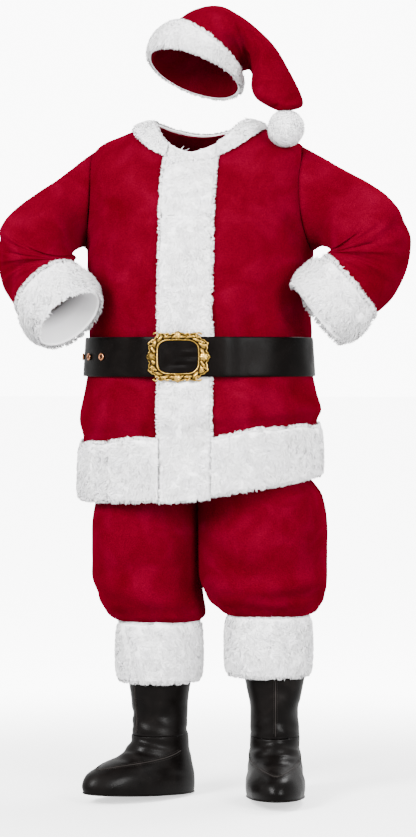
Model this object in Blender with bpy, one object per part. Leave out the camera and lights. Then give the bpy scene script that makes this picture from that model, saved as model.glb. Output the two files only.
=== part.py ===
"""Santa suit: plush jacket, belt, trousers, hat and boot tops, in the hollow form they keep when worn.

Heights in the tables are above the ground that the feet stand on. Everything is lowered by
SHOULDER_HEIGHT at the end, so that the origin lies between the shoulders, where the suit hangs.
-Y is the front, and +X is the wearer's left.
"""
import math

import bmesh
import bpy
import numpy as np

# ---- driving sizes, in metres -------------------------------------------------------------------
SHOULDER_HEIGHT = 1.42        # of the origin above the ground
PLUSH = 0.003                 # thickness of the red plush
VINYL = 0.002                 # thickness of the boot tops
LEATHER = 0.0032              # thickness of the belt's strap
SEAM_HALF = 0.00015           # each piece stops this short of the seam's middle
LIE = 0.0006                  # air under a piece that lies on another
FUR = 0.016                   # depth of the white pile on a trim
FUR_EDGE = 0.004              # depth of a trim at its sewn edges

# ---- jacket: one row for each level, from the hem to the neck ------------------------------------
# half_width, side_z, front_y, front_z, back_y, back_z, squareness
JACKET = np.array((
    (0.270, 0.722, -0.194, 0.702, 0.170, 0.718, 2.2),    # hem
    (0.268, 0.842, -0.194, 0.836, 0.168, 0.842, 2.2),    # top of the hem's fur
    (0.279, 0.888, -0.204, 0.885, 0.176, 0.888, 2.2),    # skirt
    (0.266, 0.945, -0.196, 0.943, 0.168, 0.945, 2.2),    # under the belt
    (0.256, 1.019, -0.186, 1.019, 0.160, 1.019, 2.2),    # belt
    (0.256, 1.088, -0.193, 1.088, 0.164, 1.088, 2.2),    # over the belt
    (0.256, 1.170, -0.192, 1.168, 0.166, 1.170, 2.2),    # ribs
    (0.260, 1.250, -0.184, 1.245, 0.166, 1.250, 2.3),    # armpit
    (0.261, 1.345, -0.174, 1.330, 0.164, 1.345, 2.6),    # chest
    (0.256, 1.430, -0.158, 1.393, 0.156, 1.420, 2.7),    # upper chest
    (0.238, 1.497, -0.140, 1.430, 0.138, 1.475, 2.6),    # shoulder point
    (0.170, 1.532, -0.122, 1.453, 0.106, 1.508, 2.2),    # middle of the shoulder
    (0.104, 1.552, -0.104, 1.472, 0.080, 1.530, 2.0),    # neck
))
FUR_TOP_ROW, ARMPIT_ROW, SHOULDER_ROW, NECK_ROW = 1.0, 7.1, 10.0, 12.0
PANEL_HEM_ROW = 0.10          # the plush ends a little above the fur's lower edge
HEM_TILT = 0.10               # the hem rises towards the wearer's left, metres for each metre
BAND_HALF = 0.058             # half width of the fur band down the front
BAND_END_ROW = -0.06          # the band reaches just below the hem's fur
ARMHOLE_TURN = math.radians(27)
ARMHOLE_FORWARD = math.radians(3)
RING = 18                     # points round an armhole and a sleeve

# ---- sleeves: each bends round its inner elbow and ends at the hip --------------------------------
# elbow_x, elbow_y, elbow_z, back_turn_deg, first_angle_deg, last_angle_deg
SLEEVES = {
    "right": (-0.2637, -0.2031, 1.2361, 32.7, 26.3, -47.0),
    "left": (0.3002, -0.1233, 1.2480, 14.0, 31.6, -51.0),
}
EVENING_ROUNDS, EVENED_RINGS = 3, 6    # the upper arm's rings are evened out so often
ELBOW_CREASE = 0.012          # radius left at the inner elbow
UPPER_HALF, CUFF_END_HALF = 0.0973, 0.083
UPPER_DEEP, CUFF_END_DEEP = 0.094, 0.076
CUFF_LONG = 0.092
# twist_deg, push_top, push_low, top_drop, lead, outer_pull, inner_pull: how the cloth of the upper
# arm leaves the armhole, with its rings turned that far against the elbow's, and enters the bend
UPPER_ARMS = {
    "right": (-60.0, 0.63, 0.24, 0.38, 0.52, 3.1, 1.8),
    "left": (-20.0, 0.69, 0.72, 0.33, 0.64, 2.4, 2.3),
}


def between(low, high, share):
    """The value a share of the way from low to high."""
    return low + (high - low) * share


def ease(value):
    """0 below 0, 1 above 1 and a soft step between."""
    step = np.clip(value, 0.0, 1.0)
    return step * step * (3.0 - 2.0 * step)


def bump(value, middle, half_width):
    """A soft hill of height 1 at the middle, gone a half width away."""
    reach = np.clip(np.abs(np.asarray(value) - middle) / half_width, 0.0, 1.0)
    return 0.5 + 0.5 * np.cos(np.pi * reach)


def along(table, row):
    """The table's values at a fractional row, on a smooth curve through its rows."""
    row = np.asarray(row, float)
    last = len(table) - 1
    first = np.clip(np.floor(row).astype(int), 0, last - 1)
    share = (row - first)[..., None]
    before = table[np.maximum(first - 1, 0)]
    start, end = table[first], table[first + 1]
    after = table[np.minimum(first + 2, last)]
    lift, fall = (end - before) / 2.0, (after - start) / 2.0
    return ((2 * share**3 - 3 * share**2 + 1) * start + (share**3 - 2 * share**2 + share) * lift
            + (3 * share**2 - 2 * share**3) * end + (share**3 - share**2) * fall)


def unit(vectors):
    """The vectors at length 1."""
    vectors = np.asarray(vectors, float)
    return vectors / np.maximum(np.linalg.norm(vectors, axis=-1, keepdims=True), 1e-9)


def jacket(turn, row):
    """A point of the jacket: turn is the angle round the body from its left side, front at -90
    degrees; row is the level in the JACKET table. Each level is a rounded oval whose front and
    back halves have their own depth and height."""
    turn, row = np.broadcast_arrays(np.asarray(turn, float), np.asarray(row, float))
    level = along(JACKET, row)
    half_width, side_z, front_y, front_z, back_y, back_z, square = np.moveaxis(level, -1, 0)
    cosine, sine = np.cos(turn), np.sin(turn)
    oval = (np.abs(cosine)**square + np.abs(sine)**square)**(1.0 / square)
    ahead = np.clip(-sine, 0.0, 1.0)
    behind = np.clip(sine, 0.0, 1.0)
    x = half_width * cosine / oval
    y = (front_y * ahead + back_y * behind) / oval
    z = side_z + (front_z - side_z) * ahead**2 + (back_z - side_z) * behind**2
    z = z + HEM_TILT * x * (1.0 - ease(row / 3.5))
    swell = jacket_folds(turn, row)
    return np.stack([x + swell * cosine, y + swell * sine, z], axis=-1)


# turn_deg, turn_half_deg, row, half_rows, lean_deg_per_row, height
JACKET_FOLDS = (
    (-128, 9, 5.6, 1.0, 4.0, 0.007),
    (-112, 7, 5.2, 0.8, 2.0, 0.005),
    (-66, 8, 5.5, 1.0, -3.0, 0.007),
    (-42, 8, 5.2, 0.8, -4.0, 0.006),
    (-134, 10, 2.9, 0.8, -5.0, 0.006),
    (-60, 9, 2.8, 0.8, 5.0, 0.006),
    (-150, 9, 6.8, 1.1, 9.0, 0.008),
    (-30, 9, 6.8, 1.1, -9.0, 0.008),
    (60, 10, 5.5, 1.0, 5.0, 0.007),
    (118, 10, 5.4, 1.1, -6.0, 0.008),
    (92, 8, 5.2, 0.8, 0.0, 0.005),
    (75, 9, 2.8, 0.8, -4.0, 0.006),
    (125, 9, 2.9, 0.8, 4.0, 0.007),
    (150, 9, 6.9, 1.2, -8.0, 0.008),
    (32, 9, 6.9, 1.2, 8.0, 0.008),
)


def jacket_folds(turn, row):
    """Height of the jacket's soft ridges above and below the belt and under the arms."""
    height = np.zeros_like(row)
    for turn_deg, half_deg, middle, half_rows, lean, high in JACKET_FOLDS:
        across = np.degrees(turn) - turn_deg - lean * (row - middle)
        across = (across + 180.0) % 360.0 - 180.0
        height = height + high * bump(across, 0.0, 2 * half_deg) * bump(row, middle, half_rows)
    return height


def face_of(surface, first, second, step=1e-3):
    """The surface's outward direction at two parameters, from four points close by."""
    across = surface(first + step, second) - surface(first - step, second)
    upward = surface(first, second + step) - surface(first, second - step)
    return unit(np.cross(across, upward))


# ---- building closed solids ---------------------------------------------------------------------
def material(name, colour, roughness, metallic=0.0):
    """A Principled material of one colour."""
    made = bpy.data.materials.new(name)
    made.use_nodes = True
    shader = made.node_tree.nodes["Principled BSDF"]
    shader.inputs["Base Color"].default_value = (*colour, 1.0)
    shader.inputs["Roughness"].default_value = roughness
    shader.inputs["Metallic"].default_value = metallic
    return made


FINISH = {
    "plush": ((0.42, 0.004, 0.016), 0.85, 0.0),
    "fur": ((0.88, 0.88, 0.87), 0.95, 0.0),
    "leather": ((0.012, 0.011, 0.012), 0.38, 0.0),
    "vinyl": ((0.014, 0.014, 0.015), 0.30, 0.0),
    "gold": ((0.78, 0.55, 0.16), 0.30, 1.0),
    "copper": ((0.62, 0.30, 0.16), 0.30, 1.0),
    "elastic": ((0.30, 0.01, 0.02), 0.90, 0.0),
}


def place(name, mesh, finish):
    """The mesh as a named object of the suit, with its own material."""
    mesh.materials.clear()
    mesh.materials.append(material(name, *FINISH[finish]))
    made = bpy.data.objects.new(name, mesh)
    SUIT.objects.link(made)
    return made


def skin(name, sections, finish, ring):
    """A closed solid through sections, which are loops of the same number of points. A ring joins
    its last section to its first; otherwise each end is closed by a strip across its loop."""
    sections = np.asarray(sections, float)
    count, size, _ = sections.shape
    points = sections.reshape(-1, 3) - (0.0, 0.0, SHOULDER_HEIGHT)
    faces = []
    for section in range(count if ring else count - 1):
        following = (section + 1) % count
        for corner in range(size):
            neighbour = (corner + 1) % size
            faces.append((section * size + corner, section * size + neighbour,
                          following * size + neighbour, following * size + corner))
    if not ring:
        for end in (0, (count - 1) * size):
            for corner in range(size // 2 - 1):
                opposite = size - 1 - corner
                faces.append((end + corner, end + corner + 1, end + opposite - 1, end + opposite))
    mesh = bpy.data.meshes.new(name)
    mesh.from_pydata([tuple(point) for point in points], [], faces)
    work = bmesh.new()
    work.from_mesh(mesh)
    bmesh.ops.recalc_face_normals(work, faces=work.faces)
    if work.calc_volume(signed=True) < 0.0:
        bmesh.ops.reverse_faces(work, faces=work.faces)
    work.to_mesh(mesh)
    work.free()
    mesh.shade_smooth()
    mesh.set_sharp_from_angle(angle=math.radians(40))
    return place(name, mesh, finish)


def set_back(outer, inner):
    """Moves the two side edges of a panel's grids away from their seams."""
    for edge, neighbour in ((0, 1), (-1, -2)):
        for grid in (outer, inner):
            grid[:, edge] += SEAM_HALF * unit(grid[:, neighbour] - grid[:, edge])


def panel(name, surface, first, second, thick, finish):
    """A cut piece of cloth: a wall on the inner side of a surface, over a grid of parameters."""
    outer = surface(first, second)
    inner = outer - thick * face_of(surface, first, second)
    set_back(outer, inner)
    return skin(name, np.concatenate([outer, inner[:, ::-1]], axis=1), finish, ring=False)


def tube_wall(name, outer, thick, finish):
    """A tube of cloth: a wall on the inner side of rings of points."""
    round_it = np.roll(outer, -1, axis=1) - np.roll(outer, 1, axis=1)
    down_it = np.gradient(outer, axis=0)
    face = unit(np.cross(down_it, round_it))
    middle = outer.mean(axis=1, keepdims=True)
    if np.sum(face * (outer - middle)) < 0.0:
        face = -face
    inner = outer - thick * face
    loops = np.concatenate([outer, inner[::-1]], axis=0)
    return skin(name, np.swapaxes(loops, 0, 1), finish, ring=True)


def pile_depth(share, full=FUR, edge=FUR_EDGE):
    """Depth of fur across a trim, whose share runs from one sewn edge to the other."""
    return between(edge, full, (1.0 - np.abs(2.0 * np.asarray(share) - 1.0)**3)**0.5)


def trim(name, surface, first, second, depth, finish, ring=False, lift=LIE):
    """A piece that lies on a surface: its grid runs along the piece by rows and across it by
    columns, depth is its height at each point, and lift is the air under it."""
    base = surface(first, second)
    face = face_of(surface, first, second)
    under = base + lift * face
    over = under + np.broadcast_to(depth, first.shape)[..., None] * face
    return skin(name, np.concatenate([over, under[:, ::-1]], axis=1), finish, ring=ring)


def start():
    """Removes what the scene begins with and makes the suit's collection."""
    for found in list(bpy.data.objects):
        bpy.data.objects.remove(found, do_unlink=True)
    made = bpy.data.collections.new("santa_suit")
    bpy.context.scene.collection.children.link(made)
    return made


SUIT = start()
SIDES = {"right": -1.0, "left": 1.0}

# ---- jacket -------------------------------------------------------------------------------------
FRONT_TURN = -math.pi / 2
LOW_ROWS = (PANEL_HEM_ROW, 0.6, 1.1, 1.7, 2.3, 2.9, 3.5, 4.1, 4.7, 5.3, 5.9, 6.5)
TOP_ROWS = (10.7, 11.35, NECK_ROW)
FRONT_COLUMNS, BACK_COLUMNS = 7, 14
ARMHOLE_MIDDLE = (ARMPIT_ROW + SHOULDER_ROW) / 2
ARMHOLE_REACH = (SHOULDER_ROW - ARMPIT_ROW) / 2


def armhole_rows(widen=0.0):
    """Levels round half an armhole, from the armpit to the shoulder point."""
    steps = np.linspace(0.0, math.pi, RING // 2 + 1)
    return ARMHOLE_MIDDLE - (ARMHOLE_REACH + widen) * np.cos(steps), np.sin(steps)


def body_panel(name, seam_turn, side_turn, columns):
    """A front: from the middle of the front to the side seam, the armhole and the shoulder seam."""
    opening_rows, opening_share = armhole_rows(widen=0.002)
    rows = np.concatenate([LOW_ROWS, opening_rows, TOP_ROWS])
    share = np.concatenate([np.zeros(len(LOW_ROWS)), opening_share, np.zeros(len(TOP_ROWS))])
    inward = np.sign(seam_turn - side_turn)
    side = side_turn + inward * (ARMHOLE_TURN + ARMHOLE_FORWARD) * share
    steps = np.linspace(0.0, 1.0, columns + 1)
    turn = seam_turn + (side - seam_turn)[:, None] * steps
    level = np.repeat(rows[:, None], columns + 1, axis=1)
    return panel(name, jacket, turn, level, PLUSH, "plush")


def back_panel():
    """The back: one piece from side seam to side seam, up to the armholes and shoulder seams."""
    opening_rows, opening_share = armhole_rows(widen=0.002)
    rows = np.concatenate([LOW_ROWS, opening_rows, TOP_ROWS])
    share = np.concatenate([np.zeros(len(LOW_ROWS)), opening_share, np.zeros(len(TOP_ROWS))])
    turn_in = (ARMHOLE_TURN - ARMHOLE_FORWARD) * share
    steps = np.linspace(0.0, 1.0, BACK_COLUMNS + 1)
    turn = turn_in[:, None] + (math.pi - 2 * turn_in)[:, None] * steps
    level = np.repeat(rows[:, None], BACK_COLUMNS + 1, axis=1)
    return panel("jacket_back", jacket, turn, level, PLUSH, "plush")


def armhole_loop(side, twist):
    """Points round an armhole: from the shoulder point, turned on by the twist, over the front
    to the armpit and back."""
    round_it = twist + np.linspace(0.0, 2 * math.pi, RING, endpoint=False)
    level = ARMHOLE_MIDDLE + (ARMHOLE_REACH - 0.002) * np.cos(round_it)
    ahead = np.sin(round_it)
    reach = np.where(ahead > 0, ARMHOLE_TURN + ARMHOLE_FORWARD, ARMHOLE_TURN - ARMHOLE_FORWARD)
    turn = -(reach - 0.0012) * ahead
    if side < 0:
        turn = math.pi - turn
    return jacket(turn, level)


def sleeve_rings(name, shares, swell=0.0):
    """Rings of the sleeve round its bent elbow. A share of 0 is the end of the upper arm and 1 is
    the start of the cuff; from 1 to 2 they run on, straight, to the cuff's free end."""
    elbow_x, elbow_y, elbow_z, back_turn, first_angle, last_angle = SLEEVES[name]
    side = SIDES[name]
    back = math.radians(back_turn)
    outward = np.array((side * math.cos(back), math.sin(back), 0.0))
    upward = np.array((0.0, 0.0, 1.0))
    across = np.array((side * math.sin(back), -math.cos(back), 0.0))
    round_it = np.linspace(0.0, 2 * math.pi, RING, endpoint=False)
    rings = []
    for share in shares:
        angle = math.radians(between(first_angle, last_angle, min(share, 1.0)))
        half = between(UPPER_HALF, CUFF_END_HALF, min(share, 1.0))
        deep = between(UPPER_DEEP, CUFF_END_DEEP, min(share, 1.0))
        ray = outward * math.cos(angle) + upward * math.sin(angle)
        travel = outward * math.sin(angle) - upward * math.cos(angle)
        middle = np.array((elbow_x, elbow_y, elbow_z)) + (half + ELBOW_CREASE) * ray
        middle = middle + max(share - 1.0, 0.0) * CUFF_LONG * travel
        crease = sleeve_folds(share, round_it)
        rings.append(middle + np.outer((half + swell - crease) * np.cos(round_it), ray)
                     + np.outer((deep + swell - crease) * np.sin(round_it), across))
    return np.array(rings)


def sleeve_folds(share, round_it):
    """Depth of the folds that fan out from the inner elbow, on the front and on the back."""
    fan = 0.012 * bump(share, 0.42, 0.16) + 0.007 * bump(share, 0.74, 0.13)
    fan = fan + 0.006 * bump(share, 0.14, 0.12)
    return fan * (bump(round_it, 1.5, 1.1) + 0.8 * bump(round_it, 4.8, 1.1))


def sleeve_outer(name):
    """All rings of a sleeve: from the armhole over the upper arm, then round the elbow."""
    twist_deg, push_top, push_low, top_drop, lead, outer_pull, inner_pull = UPPER_ARMS[name]
    loop = armhole_loop(SIDES[name], math.radians(twist_deg))
    bend = sleeve_rings(name, np.linspace(0.0, 1.0, 9))
    chord = bend[0] - loop
    length = np.linalg.norm(chord, axis=-1, keepdims=True)
    inner = 0.5 - 0.5 * np.cos(np.linspace(0.0, 2 * math.pi, RING, endpoint=False))
    onward = between(outer_pull, inner_pull, inner)[:, None] * (bend[1] - bend[0])
    low = ease((loop[:, 2:3].max() - loop[:, 2:3]) / np.ptp(loop[:, 2]))
    away = np.concatenate([np.full_like(low, SIDES[name]), 0.0 * low, top_drop * (low - 1.0)], axis=1)
    leaving = lead * chord + between(push_top, push_low, low) * length * away
    upper = []
    for share in np.linspace(0.0, 1.0, 5)[:-1]:
        upper.append((2 * share**3 - 3 * share**2 + 1) * loop
                     + (share**3 - 2 * share**2 + share) * leaving
                     + (3 * share**2 - 2 * share**3) * bend[0] + (share**3 - share**2) * onward)
    rings = np.concatenate([np.array(upper), bend])
    for _ in range(EVENING_ROUNDS):
        evened = between(rings, (np.roll(rings, 1, axis=1) + np.roll(rings, -1, axis=1)) / 2, 0.5)
        rings[1:EVENED_RINGS] = evened[1:EVENED_RINGS]
    return rings


def sleeve(name):
    """A sleeve, closed by one seam, from the armhole to the cuff."""
    outer = sleeve_outer(name)
    travel = unit(outer[-1] - outer[-2])
    outer[-1] = outer[-1] - SEAM_HALF * travel
    return tube_wall("sleeve_" + name, outer, PLUSH, "plush")


def fur_cuff(name, rings, depth_table, finish="fur"):
    """A fur ring: the rings are its inner face, and the pile stands out from them."""
    middle = rings.mean(axis=1, keepdims=True)
    outward = unit(rings - middle)
    travel = unit(np.gradient(middle, axis=0))
    outward = unit(outward - np.sum(outward * travel, axis=-1, keepdims=True) * travel)
    outer = rings + np.asarray(depth_table)[:, None, None] * outward
    loops = np.concatenate([outer, rings[::-1]], axis=0)
    return skin(name, np.swapaxes(loops, 0, 1), finish, ring=True)


def sleeve_cuff(name):
    """The fur cuff, sewn to the sleeve's end and open for the hand."""
    shares = np.linspace(0.0, 1.0, 6)
    rings = sleeve_rings(name, 1.0 + shares * (1.0 - 0.003) + 0.002, swell=-PLUSH)
    return fur_cuff("sleeve_cuff_" + name, rings, PLUSH + pile_depth(shares, 0.015, 0.003))


def front_band():
    """The fur band down the front, from the neck to the hem; the belt presses it flat."""
    rows = np.concatenate([np.linspace(BAND_END_ROW, 3.1, 8), np.linspace(3.35, 4.7, 4),
                           np.linspace(4.95, 12.08, 14)])
    share = np.linspace(0.0, 1.0, 6)
    widths = along(JACKET, rows)[:, 0]
    turn = FRONT_TURN + (BAND_HALF / widths)[:, None] * (2.0 * share - 1.0)
    pressed = 1.0 - 0.68 * (ease((rows - 3.15) / 0.2) - ease((rows - 4.7) / 0.2))
    depth = between(FUR_EDGE, pile_depth(share), pressed[:, None])
    level = np.repeat(rows[:, None], 6, axis=1)
    return trim("front_band_fur", jacket, turn, level, depth, "fur", lift=0.0014)


def round_trim(name, first_row, last_row, columns, stations, depth, lift):
    """A fur trim round the body, from one side of the front band to the other."""
    share = np.linspace(0.0, 1.0, columns)
    rows = between(first_row, last_row, share)
    half_turn = (BAND_HALF + 0.0025) / along(JACKET, np.clip(rows, 0.0, NECK_ROW))[:, 0]
    steps = np.linspace(0.0, 1.0, stations)[:, None]
    turn = FRONT_TURN + half_turn + (2 * math.pi - 2 * half_turn) * steps
    level = np.repeat(rows[None, :], stations, axis=0)
    return trim(name, jacket, turn, level, pile_depth(share, depth)[None, :], "fur", lift=lift)


def hem_fur():
    """The fur round the hem, from one side of the front band to the other."""
    return round_trim("hem_fur", 0.0, FUR_TOP_ROW, 6, 37, FUR, 0.0022)


def neck_fur():
    """The low fur trim round the neck, ending at the front band."""
    return round_trim("neck_fur", 11.25, 12.08, 5, 25, 0.014, 0.0015)


def build_jacket():
    """Back, two fronts, two sleeves and the fur trims."""
    back_panel()
    body_panel("jacket_front_left", FRONT_TURN, 0.0, FRONT_COLUMNS)
    body_panel("jacket_front_right", FRONT_TURN, -math.pi, FRONT_COLUMNS)
    for name in SIDES:
        sleeve(name)
        sleeve_cuff(name)
    front_band()
    hem_fur()
    neck_fur()


build_jacket()

# ---- belt ---------------------------------------------------------------------------------------
STRAP_LOW_ROW, STRAP_TOP_ROW = 3.40, 4.63    # 88 mm of the jacket's height
STRAP_LIFT = 0.0015
BRIDGE_LIFT = 0.0108          # the strap stands off the jacket over the front band
LAYER_STEP = LEATHER + 0.0012
STRAP_FIRST_TURN = -97        # degrees; the strap starts behind the buckle and ends past one turn
STRAP_LAST_TURN = -588
BUCKLE_HALF_WIDE, BUCKLE_HALF_HIGH = 0.0735, 0.0575
BUCKLE_X = -0.0130            # the buckle sits a little to the wearer's right
WINDOW_HALF_WIDE, WINDOW_HALF_HIGH = 0.045, 0.036
EYELET_ALONG = (0.205, 0.258, 0.311, 0.364)
EYELET_MAJOR, EYELET_MINOR = 0.0064, 0.0019


def strap_lift(turn_deg):
    """How far the strap's inner face stands off the jacket at an angle of its long turn."""
    from_front = np.radians((turn_deg + 90.0 + 180.0) % 360.0 - 180.0) * 0.256
    over_band = 1.0 - ease((np.abs(from_front) - 0.084) / 0.05)
    second_layer = ease((-420.0 - turn_deg) / 18.0)
    return between(STRAP_LIFT, BRIDGE_LIFT, over_band) + LAYER_STEP * second_layer


def belt_line(turn, share):
    """The surface under the strap: straight across the strap's height, from its lower edge."""
    share = np.asarray(share, float)
    low = jacket(turn, np.zeros_like(share) + STRAP_LOW_ROW)
    return low + (jacket(turn, np.zeros_like(share) + STRAP_TOP_ROW) - low) * share[..., None]


def belt_strap():
    """The strap: a little over one turn, so its free end lies on its own first stretch."""
    turns = np.linspace(STRAP_FIRST_TURN, STRAP_LAST_TURN, 66)
    turn = np.repeat(np.radians(turns)[:, None], 3, axis=1)
    share = np.repeat(np.linspace(0.0, 1.0, 3)[None, :], len(turns), axis=0)
    base = belt_line(turn, share)
    face = face_of(belt_line, turn, share)
    lift = strap_lift(turns)[:, None, None]
    under = base + lift * face
    over = under + LEATHER * face
    loops = np.concatenate([over, under[:, ::-1]], axis=1)
    return skin("belt_strap", loops, "leather", ring=False)


def belt_front(x, rise):
    """Depth under the strap at a distance from the middle and a height over its mid line."""
    turns = np.linspace(-math.pi, 0.0, 181)
    low = belt_line(turns, np.zeros(181))
    top = belt_line(turns, np.ones(181))
    share = 0.5 + rise / (top[90, 2] - low[90, 2])
    low_y = np.interp(x, low[:, 0], low[:, 1])
    return low_y + (np.interp(x, top[:, 0], top[:, 1]) - low_y) * share


BELT_MIDDLE_Z = float(belt_line(np.array(FRONT_TURN), np.array(0.5))[2])


def buckle_frame():
    """The frame: a moulded oblong ring with a scalloped edge, bent to the belt's curve."""
    around = np.linspace(0.0, 2 * math.pi, 48, endpoint=False)
    cosine, sine = np.cos(around), np.sin(around)
    oblong = (np.abs(cosine)**4 + np.abs(sine)**4)**0.25
    scallop = 0.0025 * np.cos(12 * around) + 0.0015 * np.cos(4 * around)
    outer_x = (BUCKLE_HALF_WIDE - 0.004 + scallop) * cosine / oblong
    outer_z = (BUCKLE_HALF_HIGH - 0.004 + scallop) * sine / oblong
    inner_x = WINDOW_HALF_WIDE * cosine / oblong
    inner_z = WINDOW_HALF_HIGH * sine / oblong
    back = float(strap_lift(-450.0)) + LEATHER + 0.0006
    loops = []
    for share, high in ((0.0, 0.0), (0.0, 0.003), (0.25, 0.007), (0.55, 0.0085), (0.85, 0.006),
                        (1.0, 0.003), (1.0, 0.0), (0.5, 0.0)):
        x = BUCKLE_X + between(inner_x, outer_x, share)
        z = between(inner_z, outer_z, share)
        bead = 1.0 + 0.16 * np.cos(12 * around)
        depth = belt_front(x, z) - back - high * bead
        loops.append(np.stack([x, depth, BELT_MIDDLE_Z + z], axis=-1))
    return skin("buckle_frame", np.swapaxes(np.array(loops), 0, 1), "gold", ring=True)


def buckle_bar():
    """The bar behind the strap's second layer; its two feet reach the frame's back."""
    high = BUCKLE_HALF_HIGH - 0.0085
    layers = float(strap_lift(-450.0)) + LEATHER
    stations = []
    for rise in (-high, -high, -high + 0.001, -0.035, 0.0, 0.035, high - 0.001, high, high):
        stations.append([float(belt_front(BUCKLE_X, rise)) - BRIDGE_LIFT - 0.0020, rise])
    for end, inner in ((0, 1), (-1, -2)):
        stations[end][0] += BRIDGE_LIFT + 0.0020 - layers
        stations[inner][0] = stations[end][0] + 0.003
    loops = []
    for index, (depth, rise) in enumerate(stations):
        before = np.array(stations[max(index - 1, 0)])
        after = np.array(stations[min(index + 1, len(stations) - 1)])
        travel = unit(after - before)
        normal = np.array((-travel[1], travel[0]))
        loop = []
        for angle in np.linspace(0.0, 2 * math.pi, 8, endpoint=False):
            side, lift = 0.0015 * math.cos(angle), 0.0013 * math.sin(angle)
            loop.append((BUCKLE_X + side, depth + lift * normal[0],
                         BELT_MIDDLE_Z + rise + lift * normal[1]))
        loops.append(loop)
    return skin("buckle_bar", loops, "gold", ring=False)


def eyelets():
    """Metal eyelets in the strap's free end, at the wearer's right."""
    turns = np.linspace(-450.0, -590.0, 281)
    points = belt_line(np.radians(turns), np.full(281, 0.5))
    run = np.concatenate([[0.0], np.cumsum(np.linalg.norm(np.diff(points, axis=0), axis=-1))])
    for number, distance in enumerate(EYELET_ALONG, start=1):
        turn_deg = float(np.interp(distance, run, turns))
        turn = np.array(math.radians(turn_deg))
        face = face_of(belt_line, turn, np.array(0.5))
        lift = float(strap_lift(turn_deg)) + LEATHER + 0.0004 + EYELET_MINOR
        centre = belt_line(turn, np.array(0.5)) + lift * face
        across = unit(np.cross(face, (0.0, 0.0, 1.0)))
        upward = np.cross(across, face)
        loops = []
        for angle in np.linspace(0.0, 2 * math.pi, 12, endpoint=False):
            ray = across * math.cos(angle) + upward * math.sin(angle)
            loops.append([centre + (EYELET_MAJOR + EYELET_MINOR * math.cos(roll)) * ray
                          + EYELET_MINOR * math.sin(roll) * face
                          for roll in np.linspace(0.0, 2 * math.pi, 5, endpoint=False)])
        skin(f"eyelet_{number}", loops, "copper", ring=True)


def build_belt():
    """Strap, buckle and eyelets."""
    belt_strap()
    buckle_frame()
    buckle_bar()
    eyelets()


build_belt()

# ---- trousers -----------------------------------------------------------------------------------
# z, outer_x, inner_x, front_y, back_y: from the waist down to the gathered end of each leg
LEGS = {
    "right": np.array((
        (1.000, -0.246, -0.0006, -0.176, 0.151),
        (0.930, -0.242, -0.0006, -0.168, 0.150),
        (0.840, -0.238, -0.0006, -0.156, 0.144),
        (0.760, -0.232, -0.0006, -0.146, 0.134),
        (0.690, -0.240, -0.0006, -0.141, 0.134),
        (0.620, -0.252, -0.0008, -0.139, 0.138),
        (0.550, -0.249, -0.0010, -0.137, 0.133),
        (0.490, -0.240, -0.0006, -0.133, 0.129),
        (0.452, -0.231, 0.0050, -0.124, 0.120),
        (0.424, -0.212, 0.0060, -0.109, 0.105),
        (0.412, -0.189, -0.0020, -0.092, 0.088),
    )),
    "left": np.array((
        (1.000, 0.246, 0.0006, -0.176, 0.151),
        (0.930, 0.242, 0.0006, -0.168, 0.150),
        (0.840, 0.240, 0.0006, -0.156, 0.144),
        (0.760, 0.242, 0.0006, -0.146, 0.134),
        (0.700, 0.281, 0.0006, -0.141, 0.134),
        (0.620, 0.294, 0.0008, -0.139, 0.140),
        (0.550, 0.293, 0.0010, -0.137, 0.136),
        (0.500, 0.292, 0.0040, -0.134, 0.132),
        (0.466, 0.287, 0.0220, -0.123, 0.122),
        (0.441, 0.272, 0.0500, -0.106, 0.107),
        (0.429, 0.252, 0.0660, -0.090, 0.090),
    )),
}
LEG_SQUARENESS = 2.25
SEAT_TOP_Z, CROTCH_Z = 0.93, 0.715
WAIST_ROW = 3.72              # of the trousers' upper edge, inside the belt
WAISTBAND_ROWS = (3.72, 4.0, 4.26)
WAIST_IN = PLUSH + 0.0022     # the waistband and the trousers' top lie just inside the jacket
LEG_ROWS = 15
LEG_COLUMNS = 8


def leg_folds(row, ahead):
    """Height of a leg's soft ridges: drag lines from the crotch, and gathers at the ankle.
    The second value runs from -1 at the back of the inner seam to 1 at its front."""
    drag = 0.008 * bump(row + 0.9 * ahead, 5.9, 0.9) * bump(ahead, 0.6, 0.45)
    drag = drag + 0.007 * bump(row - 1.2 * ahead, 6.6, 0.8) * bump(ahead, 0.3, 0.4)
    drag = drag + 0.008 * bump(row - 1.0 * ahead, 6.2, 0.9) * bump(ahead, -0.5, 0.5)
    gather = 0.003 * np.cos(9 * math.pi * ahead) * bump(row, 8.8, 1.3)
    return drag + gather


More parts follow.
